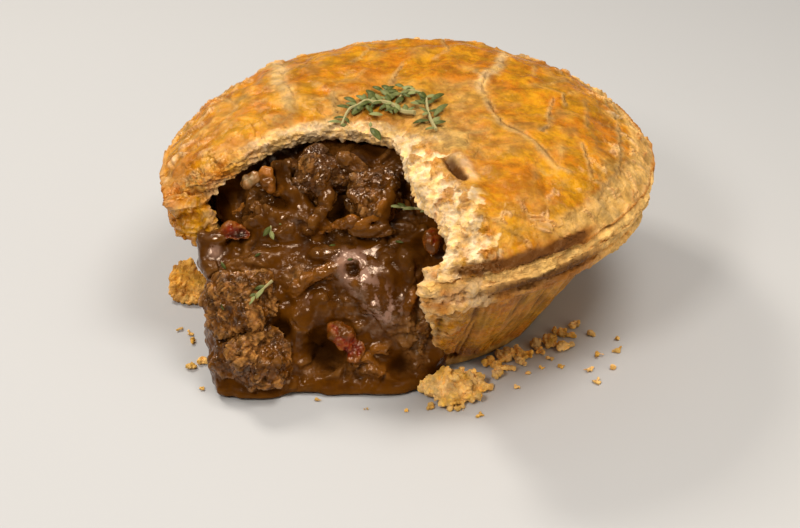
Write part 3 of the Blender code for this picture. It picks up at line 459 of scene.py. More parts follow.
def cavity(obj, co, normal, rounds, reach):
    """How far each point stands out (above 0) or lies in a hollow (below 0), as a share of reach."""
    smooth = relax(obj, co, rounds)
    return np.clip(np.sum((co - smooth) * normal, axis=1) / reach, -1, 1)


def linked(name, data):
    """An object that holds data, linked to the scene."""
    obj = bpy.data.objects.new(name, data)
    bpy.context.scene.collection.objects.link(obj)
    return obj


def new_object(name, mesh, material, nodes=()):
    """An object of the pie: rides on it, has its finish, and stands for CAD nodes."""
    obj = linked(name, mesh)
    mesh.materials.clear()
    mesh.materials.append(material)
    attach(obj, "root")
    if nodes:
        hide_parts(*nodes)


def apply_modifiers(obj):
    """Turn an object's modifiers into its mesh."""
    graph = bpy.context.evaluated_depsgraph_get()
    mesh = bpy.data.meshes.new_from_object(obj.evaluated_get(graph))
    old = obj.data
    obj.modifiers.clear()
    obj.data = mesh
    bpy.data.meshes.remove(old)


def mesh_of(bm):
    """The mesh of a bmesh, which is freed."""
    mesh = bpy.data.meshes.new("scratch")
    bm.to_mesh(mesh)
    bm.free()
    return mesh


def shrunk(mesh, amount):
    """A copy of a mesh moved inward by millimetres."""
    copy = mesh.copy()
    bm = bmesh.new()
    bm.from_mesh(copy)
    bmesh.ops.remove_doubles(bm, verts=bm.verts, dist=0.001 * MM)
    bm.normal_update()
    for vert in bm.verts:
        vert.co -= vert.normal * amount * MM
    bm.to_mesh(copy)
    bm.free()
    return copy


def spin(angle, axis):
    """A turn by degrees about an axis."""
    return Matrix.Rotation(math.radians(angle), 3, axis)


def add_blob(bm, centre, half_sizes, turn=None, detail=3):
    """An ellipsoid in millimetres."""
    matrix = Matrix.Translation(Vector(centre) * MM)
    if turn is not None:
        matrix = matrix @ turn.to_4x4()
    matrix = matrix @ Matrix.Diagonal((*(Vector(half_sizes) * MM), 1))
    bmesh.ops.create_icosphere(bm, subdivisions=detail, radius=1, matrix=matrix)


def melted(sources, part, hidden=None):
    """A scratch object: a part's meshes melted into one surface, with few faces where hidden says so."""
    bm = bmesh.new()
    for source in sources:
        bm.from_mesh(source)
    obj = linked("scratch", mesh_of(bm))
    melt = obj.modifiers.new("Melt", "REMESH")
    melt.mode = "VOXEL"
    melt.voxel_size = MELT_CELL[part] * MM
    apply_modifiers(obj)
    if hidden:
        co, normal = read_mesh(obj)
        group = obj.vertex_groups.new(name="hidden")
        group.add(np.flatnonzero(hidden(co, normal)).tolist(), 1.0, "REPLACE")
        fewer = obj.modifiers.new("Fewer", "DECIMATE")
        fewer.ratio = HIDDEN_SHARE[part]
        fewer.vertex_group = "hidden"
        fewer.vertex_group_factor = 1000
        apply_modifiers(obj)
    return obj


def solid(node):
    """The mesh of a CAD solid."""
    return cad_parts[node].data


def surface_tree(name):
    """The surface of an object, for finding the nearest place on it."""
    return BVHTree.FromObject(bpy.data.objects[name], bpy.context.evaluated_depsgraph_get())


def taken_mesh(obj):
    """The mesh of a scratch object, which is removed."""
    mesh = obj.data
    obj.vertex_groups.clear()
    bpy.data.objects.remove(obj)
    return mesh


# ---------------------------------------------------------------- materials

def set_inputs(tree, node, inputs):
    """Set a node's inputs to values, or link them to other nodes."""
    for socket, value in inputs.items():
        if isinstance(value, bpy.types.NodeSocket):
            tree.links.new(value, node.inputs[socket])
        else:
            node.inputs[socket].default_value = value


def add_node(tree, kind, inputs=None, **settings):
    """A node with its settings, and its inputs set or linked."""
    made = tree.nodes.new(kind)
    for name, value in settings.items():
        setattr(made, name, value)
    set_inputs(tree, made, inputs or {})
    return made


def mixed(tree, share, a, b, mode="MIX"):
    """A colour between a and b."""
    made = add_node(tree, "ShaderNodeMix", {0: share, 6: a, 7: b}, data_type="RGBA", blend_type=mode)
    return made.outputs[2]


def computed(tree, operation, a, b=0.0):
    """One number worked out from one or two others."""
    return add_node(tree, "ShaderNodeMath", {0: a, 1: b}, operation=operation).outputs[0]


def plus(tree, a, b):
    """The sum of two numbers."""
    return computed(tree, "ADD", a, b)


def times(tree, a, b):
    """The product of two numbers."""
    return computed(tree, "MULTIPLY", a, b)


def lumps_for(tree, size):
    """Lumps for each metre, from their size in millimetres."""
    return computed(tree, "DIVIDE", 1 / MM, size)


def ranged(tree, value, low, high, to_low=0.0, to_high=1.0):
    """A number moved smoothly from one range to another."""
    inputs = {"Value": value, "From Min": low, "From Max": high, "To Min": to_low, "To Max": to_high}
    return add_node(tree, "ShaderNodeMapRange", inputs, interpolation_type="SMOOTHSTEP").outputs[0]


def stored(tree, name):
    """A number kept on the mesh."""
    return add_node(tree, "ShaderNodeAttribute", attribute_name=name).outputs["Fac"]


def grain(tree, scale, detail=3.0, stretch=(1.0, 1.0, 1.0), roughness=0.55):
    """Noise over the object's own coordinates: scale is in lumps for each metre."""
    place = add_node(tree, "ShaderNodeTexCoord").outputs["Object"]
    mapped = add_node(tree, "ShaderNodeMapping", {"Vector": place, "Scale": stretch}).outputs[0]
    inputs = {"Vector": mapped, "Scale": scale, "Detail": detail, "Roughness": roughness}
    return add_node(tree, "ShaderNodeTexNoise", inputs).outputs["Fac"]


def shared_group(name, inputs, outputs, work):
    """A shader node group with named sockets, made once: work gives its outputs from its inputs."""
    if name in bpy.data.node_groups:
        return bpy.data.node_groups[name]
    group = bpy.data.node_groups.new(name, "ShaderNodeTree")
    for socket, value in inputs.items():
        kind = "NodeSocketColor" if isinstance(value, tuple) else "NodeSocketFloat"
        group.interface.new_socket(socket, in_out="INPUT", socket_type=kind).default_value = value
    for socket, kind in outputs.items():
        group.interface.new_socket(socket, in_out="OUTPUT", socket_type=kind)
    start = group.nodes.new("NodeGroupInput").outputs
    end = group.nodes.new("NodeGroupOutput")
    set_inputs(group, end, dict(zip(outputs, work(group, start))))
    return group


def mottle_work(group, start):
    """A colour that drifts to a second one in patches and in flecks, and how far it does."""
    wide = grain(group, lumps_for(group, start["Patch Size"]), 2.0)
    fine = grain(group, lumps_for(group, start["Fleck Size"]), 4.0)
    both = plus(group, times(group, wide, 0.6), times(group, fine, 0.4))
    share = times(group, ranged(group, both, 0.40, 0.62), start["Amount"])
    return mixed(group, share, start["Colour"], start["Patches"]), share


def crumb_work(group, start):
    """Fine crumb relief: a height of pits and flakes."""
    place = add_node(group, "ShaderNodeTexCoord").outputs["Object"]
    inputs = {"Vector": place, "Scale": lumps_for(group, start["Flake Size"])}
    flakes = add_node(group, "ShaderNodeTexVoronoi", inputs, feature="F1").outputs["Distance"]
    crumbs = grain(group, lumps_for(group, start["Crumb Size"]), 5.0, roughness=0.65)
    return (plus(group, crumbs, times(group, flakes, 0.35)),)


def rgba(colour):
    """A colour with full alpha."""
    return (*colour, 1.0)


def laid_over(tree, colour, over, mask, low, high, most=1.0):
    """A colour with another laid over it as a mask rises from low to high."""
    return mixed(tree, ranged(tree, mask, low, high, 0.0, most), colour, rgba(over))


def mottled(tree, colour, patches, patch_size, fleck_size, amount):
    """Uneven baking or staining: the mottle group with its two colours and its sizes in mm."""
    inputs = {"Colour": rgba(colour), "Patches": rgba(patches), "Patch Size": patch_size,
              "Fleck Size": fleck_size, "Amount": amount}
    outputs = {"Colour": "NodeSocketColor", "Mask": "NodeSocketFloat"}
    group = shared_group("Pie Mottle", inputs, outputs, mottle_work)
    return add_node(tree, "ShaderNodeGroup", inputs, node_tree=group)


def crumb_relief(tree, crumb_size, flake_size):
    """A height from the crumb relief group, with its sizes in mm."""
    inputs = {"Crumb Size": crumb_size, "Flake Size": flake_size}
    group = shared_group("Pie Crumb Relief", inputs, {"Height": "NodeSocketFloat"}, crumb_work)
    return add_node(tree, "ShaderNodeGroup", inputs, node_tree=group).outputs["Height"]


def new_material(name):
    """A Principled material: its tree and its shader."""
    material = bpy.data.materials.new(name)
    material.use_nodes = True
    tree = material.node_tree
    return material, tree, tree.nodes["Principled BSDF"]


def raise_surface(tree, shader, height, depth, strength):
    """Bump of a given depth in millimetres."""
    inputs = {"Height": height, "Distance": depth * MM, "Strength": strength}
    set_inputs(tree, shader, {"Normal": add_node(tree, "ShaderNodeBump", inputs).outputs[0]})


def crust_material(name, look, loose=False):
    """Baked pastry whose masks are stored on the mesh; loose is for crumbs, which are lighter."""
    material, tree, shader = new_material(name)
    glaze = stored(tree, "glaze")
    toast = stored(tree, "toast")
    bare = stored(tree, "bare")
    hollow = stored(tree, "hollow")
    baked = ranged(tree, grain(tree, 75.0, 5.0, roughness=0.62), 0.5, 0.7, 0.0, 0.75)
    golden = mottled(tree, look.glaze, look.amber, 9.0, 1.4, 1.0)
    deep = mixed(tree, baked, golden.outputs["Colour"], rgba(look.toasted))
    thin, thick = (look.crumbly, look.crumb_deep) if loose else (look.pale, look.straw)
    pale = mottled(tree, thin, thick, 4.0, 0.9, 0.9)
    cream = mottled(tree, look.cream, look.crumbly, 3.4, 1.0, 0.8)
    colour = mixed(tree, glaze, pale.outputs["Colour"], deep)
    colour = mixed(tree, bare, colour, cream.outputs["Colour"])
    layered = stored(tree, "layers")
    colour = laid_over(tree, colour, look.crumbly, layered, 0.0, 1.0, 0.75)
    speckle = ranged(tree, grain(tree, 230.0, 6.0, roughness=0.68), 0.36, 0.64, 0.68, 1.28)
    colour = mixed(tree, 1.0, colour, speckle, "MULTIPLY")
    colour = laid_over(tree, colour, look.toasted, toast, 0.0, 1.0, 0.85)
    # Painted shade: the hollow mask darkens recesses, the seam groove and the steam hole, and gives the
    # splits a dark brown line
    colour = laid_over(tree, colour, look.seared_and_shade, hollow, 0.1, 0.9, 0.93)
    matt = mixed(tree, glaze, (0.7, 0.7, 0.7, 1), (0.21, 0.21, 0.21, 1))
    rough = plus(tree, matt, times(tree, pale.outputs["Mask"], 0.12))
    set_inputs(tree, shader, {"Base Color": colour, "Roughness": rough, "Specular IOR Level": 0.4,
                              "Specular Tint": CRUST_SHINE})
    crumbs = crumb_relief(tree, 0.9, 2.2)
    calm = ranged(tree, glaze, 0.0, 1.0, 1.0, 0.55)
    calm = times(tree, calm, ranged(tree, bare, 0.0, 1.0, 1.0, 0.6))
    layers = times(tree, grain(tree, 260.0, 3.0, (1.0, 1.0, 5.0)), layered)
    height = plus(tree, times(tree, crumbs, calm), times(tree, layers, 2.0))
    raise_surface(tree, shader, height, depth=0.55, strength=0.7)
    return material


# ---------------------------------------------------------------- the crust

def lid_splits(x, y, sway, fine):
    """Splits in the glaze: the split, its trough, its bare lip, and the scar of the widest ones."""
    crack, trough, lip, scar = np.zeros((4, len(x)))
    wander = 0.4 * fine + 0.5 * sway
    for width, depth, line in LID_CRACKS:
        distance = line_distance(x + wander, y - wander, line)
        beside = line_distance(x + wander - 0.7 * width, y - wander - 0.4 * width, line)
        crack = np.maximum(crack, depth * bump(beside, 0.55) * (0.8 + 0.6 * sway))
        trough = np.maximum(trough, depth * bump(distance, 1.5 * width))
        lip = np.maximum(lip, bump(distance + 0.3 * fine, 0.85 * width) * min(depth + 0.1, 0.9))
        if width > 1:
            near = bump(line_distance(x, y, line) + 0.8 * fine, 1.3 * width)
            scar = np.maximum(scar, near * smoothstep(4, 14, y))
    return crack, trough, lip, scar


def shape_lid(obj, look):
    """Blisters, splits, flakes, torn edge and layered rim of the lid, with the masks that colour them."""
    co, normal = read_mesh(obj)
    co = relax(obj, co, 3)
    x, y, z = co.T
    radius = np.hypot(x, y)
    up = smoothstep(0.1, 0.5, normal[:, 2])
    sway, fine = drifts(co)
    # Where the pastry is torn
    past_glaze = past_line(x, y, GLAZE_EDGE) + 1.6 * sway + 0.6 * fine
    from_break = line_distance(x, y, LID_BREAK)
    side = 1 - smoothstep(0.25, 0.6, np.abs(normal[:, 2]))
    broken = side * (1 - smoothstep(1.5, 3.5, from_break)) * (1 - smoothstep(60, 61.5, radius))
    torn = np.maximum(1 - smoothstep(-1.0, 0.8, past_glaze), broken)
    # At the back and the left the tear shows tan layers, at the right thick cream ones
    thick_cream = smoothstep(-12, -19, y) * smoothstep(-14, -4, x)
    flecks = smoothstep(-0.1, 0.5, soft_noise(co, 3.4, 33) + 0.5 * soft_noise(co, 1.5, 35) + 0.25)
    chip_number = cells(co + 1.2 * sway[:, None], 3.0, 33)[2]
    chips = smoothstep(-0.08, 0.08, 0.72 + 0.085 * past_glaze - chip_number) * thick_cream
    rim = smoothstep(58.5, 61.0, radius)
    tan_rim = smoothstep(55.5, 58.5, radius + 0.8 * sway) * smoothstep(26, 42, x) * (1 - torn)

    # Splits and patches of the glaze
    crack, trough, lip, scar = lid_splits(x, y, sway, fine)
    patches = cells(co * (1, 1, 0.6) + 1.5 * sway[:, None], 10.0, 21)
    some = smoothstep(-0.1, 0.35, soft_noise(co, 17.0, 9))
    bands = bump(patches[1], 0.09) * some
    crack = crack * up * (1 - torn)

    # Flaked plates near the tear and at the rim
    near_tear = 1 - smoothstep(4, 17, past_glaze)
    at_rim = smoothstep(46, 57, radius + 3 * sway)
    flaky = np.maximum(near_tear * smoothstep(0.0, 0.35, soft_noise(co, 15.0, 4) + 0.3), 0.75 * at_rim)
    plate = cells(co * (1, 1, 0.6) + 1.7 * sway[:, None], 5.0, 31)
    plate_gap = bump(plate[1], 0.09) * flaky * up
    curled = bump(plate[1] - 0.12, 0.08) * smoothstep(47, 54, radius) * up
    curled *= smoothstep(0.1, 0.35, soft_noise(co, 4.0, 91))
    small = cells(co + 0.5 * fine[:, None], 1.7, 41)

    # The steam hole and the ridge beside it
    from_hole = line_distance(x, y, STEAM_HOLE[0]) / STEAM_HOLE[1]
    hole = bump(from_hole, 0.8) * smoothstep(-25.0, -32.0, y) * up
    hole_shade = bump(np.maximum(from_hole - 0.5, 0), 0.9) * smoothstep(-23.0, -31.0, y) * up
    ridge = bump(line_distance(x, y, HOLE_RIDGE), 1.4) * up

    # How far the surface stands out
    rise = up * (0.55 * soft_noise(co, 13.0, 1) + 0.32 * sway + 0.05 * fine)
    rise += up * look.blister_height * np.maximum(soft_noise(co, 8.0, 6) - 0.15, 0)
    rise += 0.35 * lip * up * (1 - torn) - look.crack_depth * (0.6 * crack + 0.2 * trough)
    rise += up * (1 - torn) * 0.3 * (patches[2] - 0.5) * some
    rise += flaky * up * (0.6 * (plate[2] - 0.5)) - 0.14 * plate_gap + 0.7 * curled
    rise += torn * (0.9 * (0.5 - small[0]) + 0.35 * fine + 0.6 * billow(co, 2.6, 2, 27) - 0.25)
    rise += 1.0 * ridge - STEAM_HOLE[2] * hole
    corner = smoothstep(-34, -46, x)
    rise += torn * ((1 - thick_cream) * (0.6 + 1.1 * corner) * (sheets(co, 1.3, 44) - 0.5) + 0.5 * chips)

    layered = rim * (1 - up) * (1 - 0.85 * torn * thick_cream)
    rise += layered * 1.3 * bump(z - SEAM_Z, 1.6)
    leaves = layered_noise(ringed(co) / (6.0, 3.0, 0.8), 1.0, 2, 8)
    scales = cells(slanted(co), 1.0, 52)[2] - 0.5
    rise += layered * (0.35 * leaves + 0.7 * scales + 0.15 * fine)
    pleats = soft_noise(co * (1, 1, 0.35), 3.2, 12)
    rise += smoothstep(55.5, 60, radius) * 0.45 * pleats
    co = co + normal * (rise + 0.12)[:, None]
    # The lower edge of the left corner hangs over the end of the case
    hangs = corner * smoothstep(5.0, 2.0, past_line(x, y, LID_BREAK)) * smoothstep(44.5, 41.5, z)
    co[:, 2] -= hangs * np.maximum(1.6 + 2.6 * soft_noise(co, 3.6, 83), 0)

    # The masks
    normal = write_mesh(obj, co)
    stands = cavity(obj, co, normal, rounds=10, reach=0.35)
    pale = near_spots(x, y, PALE_PATCHES, 2.5 * sway)
    blotches = smoothstep(0.05, 0.6, soft_noise(co, 9.0, 14) + 0.3 * sway)
    bald = 0.95 * lip + 0.9 * scar + 0.5 * bands + 0.6 * plate_gap + 0.8 * pale + 0.35 * blotches
    glaze = 1 - np.clip(bald * (0.8 + 0.5 * sway), 0, 1)
    glaze *= (1 - torn) * (1 - 0.75 * layered) * (1 - 0.7 * tan_rim)
    spots = near_spots(x, y, DARK_SPOTS, 1.5 * sway)
    toast = 0.4 * spots + 0.35 * smoothstep(0.2, 0.8, soft_noise(co, 7.0, 22)) * (1 - pale)
    # The seam groove: toasted brown, and darkened with painted shade as the shadow line under the lid's
    # edge
    groove = bump(np.minimum(z - GROOVE_Z, 0) + np.maximum(z - GROOVE_Z + 0.5 * sway, 0), 1.2)
    groove *= bump(line_distance(x, y, SEAM_GROOVE), 6)
    toast += 0.35 * np.maximum(stands, 0) * (1 - torn) + 0.25 * layered + 1.2 * groove
    left_end = smoothstep(-36, -50, x) * (1 - smoothstep(-8, 6, y))
    toast += 0.4 * left_end * smoothstep(-0.2, 0.4, sway)
    browned = torn * (1 - thick_cream) * corner
    lower = browned * smoothstep(-52, -47, x) * smoothstep(47.5, 45.5, z + 0.8 * sway)
    browned = browned - lower
    sheet = sheets(co, 1.3, 44)
    store(obj, "layers", np.maximum(layered, 0.5 * tan_rim) * (1 - torn) * (1 - groove))
    golden = torn * (0.3 * (1 - thick_cream) * flecks + 0.7 * chips)
    golden += browned * smoothstep(0.2, 0.5, sheet)
    golden += 0.5 * torn * thick_cream * flecks * smoothstep(-34, -50, y)
    golden += 0.35 * torn * thick_cream * smoothstep(0.5, 0.8, small[2])
    spread = bump(np.maximum(past_glaze, 0), 6.0) * thick_cream * (1 - chips) * up * (1 - torn)
    store(obj, "glaze", glaze * (1 - 0.8 * spread) + golden + 0.6 * hangs)
    baked = torn * (1 - thick_cream) * smoothstep(-0.2, 0.5, sway) * (0.12 + 0.6 * browned)
    store(obj, "toast", toast * (1 - 0.6 * torn) + baked + 0.25 * tan_rim * stands)
    bare = torn * (0.6 + 0.1 * sway + 0.3 * thick_cream) * (1 - 0.85 * chips)
    bare *= 1 - 0.5 * thick_cream * flecks * smoothstep(-38, -54, y)
    bare = np.maximum(np.maximum(bare, 0.75 * spread), 0.3 * layered) * (1 - 0.85 * browned)
    bare = np.maximum(bare, 0.8 * lower * smoothstep(0.2, 0.5, sheet))
    # Painted highlight and paler crust: the raised points of the right rim are paler cream
    rim_cream_and_highlight = tan_rim * smoothstep(-0.2, 0.6, stands)
    bare = np.maximum(np.maximum(bare, 0.6 * ridge), 0.45 * rim_cream_and_highlight)
    pinkish = np.maximum(0.12 * lip, np.maximum(0.3 * scar, 0.6 * curled)) * up * (1 - torn)
    store(obj, "bare", np.maximum(bare, pinkish))
    # Painted shade: hollows of the lid, the seam under its layered edge and the groove are darkened; the
    # splits get a dark brown line
    recess_shade = np.maximum(-stands, 0) * (0.45 - 0.35 * torn * (1 - browned))
    recess_shade += layered * (0.4 * bump(z - SEAM_Z, 0.7) + 0.25 * np.maximum(-stands, 0)) + 1.2 * groove
    store(obj, "hollow", np.maximum(1.2 * hole_shade, recess_shade) + 0.25 * crack * (1 - torn))


def shape_case(obj):
    """Stripes, folds, torn ends and thick layered rim of the case, with the masks that colour them."""
    co, normal = read_mesh(obj)
    co = relax(obj, co, 2)
    x, y, z = co.T
    ledge = smoothstep(SEAM_Z - 7, SEAM_Z - 0.5, z) * smoothstep(1.0, -2.5, past_line(x, y, LID_BREAK))
    co[:, 2] += ledge * smoothstep(-36, -44, x) * (3.4 + 2.5 * soft_noise(co, 5.0, 85))
    radius = np.hypot(x, y)
    outward = np.sum(normal[:, :2] * co[:, :2], axis=1) / np.maximum(radius, 1)
    sway, fine = drifts(co)
    # Rim, wall and broken faces
    outer = smoothstep(0.3, 0.7, outward)
    rim = smoothstep(FLANGE_BOTTOM_Z - 2.0, FLANGE_BOTTOM_Z + 0.5, z) * smoothstep(53, 57, radius)
    wall = outer * (1 - rim) * smoothstep(2, 5, z)
    sideways = 1 - np.hypot(outward, normal[:, 2])
    broken = smoothstep(0.25, 0.6, sideways) * smoothstep(0.5, 3, z)

    # Stripes and folds drawn up the wall
    drawn = ringed(co) * (0.75, 0, 0.1) + 0.6 * soft_noise(co, 9.0, 18)[:, None]
    stripes = soft_noise(drawn, 1.1, 2)
    folds = soft_noise(drawn, 5.0, 7)
    rise = wall * (0.5 * stripes + 0.9 * folds + 0.1 * fine)
    leaves = layered_noise(ringed(co) / (7.0, 3.0, 1.0), 1.0, 2, 8)
    scales = cells(slanted(co), 1.0, 54)[2] - 0.5
    centre, reach = TORN_END
    torn_end = bump(np.linalg.norm((co - centre) / reach, axis=1) + 0.3 * sway, 1.0) * (1 - broken)
    rise += rim * outer * (0.3 * leaves + 0.7 * scales + 0.3 * fine) * (1 - 0.8 * torn_end)
    rise += rim * smoothstep(57, 60, radius) * 1.3 * bump(z - SEAM_Z, 1.6) * (1 - 0.8 * torn_end)
    broken = np.maximum(broken, torn_end)
    crumbly = cells(co + 0.5 * fine[:, None], 1.8, 41)
    rough = 1.5 * (0.5 - crumbly[0]) + 0.4 * fine + 1.3 * billow(co, 4.0, 3, 27) - 0.4
    rise += broken * rough * smoothstep(-62, -30, x)
    # The ragged ends of the break
    ragged = np.maximum(*(bump(line_distance(x, y, end), 5.0) for end in CASE_ENDS))
    crinkle = billow(co * (1, 1, 0.7), 4.4, 3, 63)
    hanging = 1.2 * soft_noise(co, 6.0, 81) + 2.8 * (crinkle - 0.45)
    lumpy = 1.6 * (billow(co, 5.0, 3, 63) - 0.4)
    rise += ragged * (np.where(x < -30, hanging, lumpy) + 0.9 * (sheets(co, 1.8, 45) - 0.5))
    co = co + normal * (rise + 0.1)[:, None]

    # The masks
    normal = write_mesh(obj, co)
    stands = cavity(obj, co, normal, rounds=10, reach=0.35)
    left = smoothstep(-30, -45, x) * smoothstep(-2, -12, y)
    # Painted shade: the seam between the lid and the case is darkened all round, most along the groove
    groove = bump(z - SEAM_Z + 0.8, 1.3) * rim * bump(line_distance(x, y, SEAM_GROOVE), 7)
    groove = np.maximum(groove, 0.25 * bump(z - SEAM_Z + 0.6, 0.7) * rim) * (1 - 0.8 * torn_end)
    golden = left * np.maximum(np.maximum(broken, ragged), rim)
    # Painted shade: the rim's lower half is browned and darkened at the front, where the rim's edge shades
    # it
    under = rim * smoothstep(SEAM_Z + 1.0, SEAM_Z - 3.0, z) * bump(line_distance(x, y, SEAM_GROOVE), 11)
    under *= 1 - torn_end
    spots = smoothstep(-0.1, 0.4, soft_noise(co, 3.2, 37))
    warm = golden + np.maximum(ragged, torn_end) * (1 - left) * (0.3 + 0.4 * spots)
    warm += 0.4 * torn_end * smoothstep(0.5, 0.8, crumbly[2])
    store(obj, "glaze", wall * (0.75 + 0.3 * folds) + 0.3 * rim * outer + warm)
    toast = 0.3 * rim * outer * smoothstep(-0.4, 0.5, sway)
    toast += wall * (0.15 * smoothstep(0.0, 0.6, folds) + 0.1 * smoothstep(0.0, 0.3, stripes))
    toast += 0.5 * ragged * smoothstep(0.0, 0.5, soft_noise(co, 3.0, 35))
    orange = smoothstep(-57, -61, x) + 0.6 * smoothstep(-0.2, 0.4, sway) + 0.8 * smoothstep(36, 41, z)
    creased = smoothstep(0.45, 0.15, crinkle)
    toast += 0.6 * under
    store(obj, "toast", toast * (1 - 0.7 * golden) + golden * (0.2 * orange + 0.55 * creased))
    store(obj, "layers", rim * outer * (1 - golden) * (1 - torn_end) * (1 - under))
    crumb = np.maximum(broken, 0.8 * ragged * smoothstep(-0.3, 0.3, soft_noise(co, 3.6, 33)))
    bare = np.maximum(crumb * (0.5 - 0.35 * spots) + 0.35 * torn_end, 0.4 * rim) * (1 - left)
    # Painted highlight: the golden left end is paler where it stands out
    bare += golden * 0.3 * smoothstep(0.5, 1.0, stands)
    # Painted highlight: the wall's stripes are paler where they stand out
    store(obj, "bare", np.maximum(bare, 0.1 * wall * smoothstep(0.1, 0.4, stripes)))
    # Painted shade: recesses of the wall and rim, and the troughs of the wall's folds and stripes, are
    # darkened
    sunken_shade = np.maximum(-stands, 0) * (0.3 * wall + 0.35 * rim) + 0.2 * wall * smoothstep(0.0, 0.4, -folds)
    sunken_shade += 0.3 * wall * smoothstep(0.0, 0.35, -stripes)
    store(obj, "hollow", sunken_shade + 0.8 * groove * (1 - left) + 0.35 * under)


def hidden_lid(co, normal):
    """The lid's underside, which rests on the stew."""
    x, y, _ = co.T
    return (normal[:, 2] < -0.3) & (np.hypot(x, y) < 55) & (past_line(x, y, LID_BREAK) > 4)


def hidden_case(co, normal):
    """The case's inner face and its base."""
    x, y, z = co.T
    inward = np.sum(normal[:, :2] * co[:, :2], axis=1) < 5
    away = past_line(x, y, LID_BREAK) > 6
    return ((inward & away & (z < 39)) | (normal[:, 2] < -0.95)) & (np.hypot(x, y) < 56)


# ---------------------------------------------------------------- the stew

def add_strand(bm, thick, points):
    """A lumpy strand of a given half thickness along a line of points."""
    points = [Vector(point) for point in points]
    for number, (start, end) in enumerate(zip(points, points[1:])):
        steps = max(int((end - start).length / (0.6 * thick)), 1)
        for step in range(steps + 1):
            swell = thick * (1 + 0.16 * math.sin(2.3 * step + 1.7 * number))
            add_blob(bm, start.lerp(end, step / steps), (swell, swell, swell), detail=2)


def fold_mesh():
    """The gravy's folds, ridges and strands, and the broad fold that shines most."""
    bm = bmesh.new()
    for centre, half_sizes in GRAVY_FOLDS:
        add_blob(bm, centre, half_sizes)
    for thick, points in STEW_STRANDS + GRAVY_RIDGES:
        add_strand(bm, thick, points)
    centre, half_sizes, along, out = (Vector(value) for value in WET_FOLD)
    along.normalize()
    across = out.cross(along).normalized()
    turn = Matrix((along, across, along.cross(across))).transposed()
    add_blob(bm, centre, half_sizes, turn, 4)
    return mesh_of(bm)


def stew_shows(co, normal):
    """Whether points of the stew can be seen through the break."""
    x, y, z = co.T
    inside_opening = past_line(x, y, LID_BREAK) < 5
    return inside_opening & (normal[:, 2] > -0.6) & ((np.hypot(x, y) < 58) | (z < 35))


def hidden_stew(co, normal):
    """The stew under the lid and against the case."""
    return ~stew_shows(co, normal)


def shred_blobs(base):
    """Short shreds of meat and onion that lie in the gravy, as a mesh."""
    rng = np.random.default_rng(SHRED_SEED)
    co, normal = read_mesh(base)
    facing = normal @ TO_CAMERA > 0.1
    places = np.flatnonzero(stew_shows(co, normal) & facing & (co[:, 2] > 2.5))
    bm = bmesh.new()
    for place in rng.choice(places, SHRED_COUNT, replace=False):
        long = rng.uniform(1.2, 3.4)
        thick = rng.uniform(0.7, 1.3)
        out = Vector(normal[place])
        along = out.cross(Vector(rng.normal(size=3))).normalized()
        turn = Matrix((along, out.cross(along), out)).transposed()
        centre = Vector(co[place]) - out * 0.35 * thick
        add_blob(bm, centre, (long, thick * rng.uniform(0.9, 1.5), thick), turn, 2)
    return mesh_of(bm)


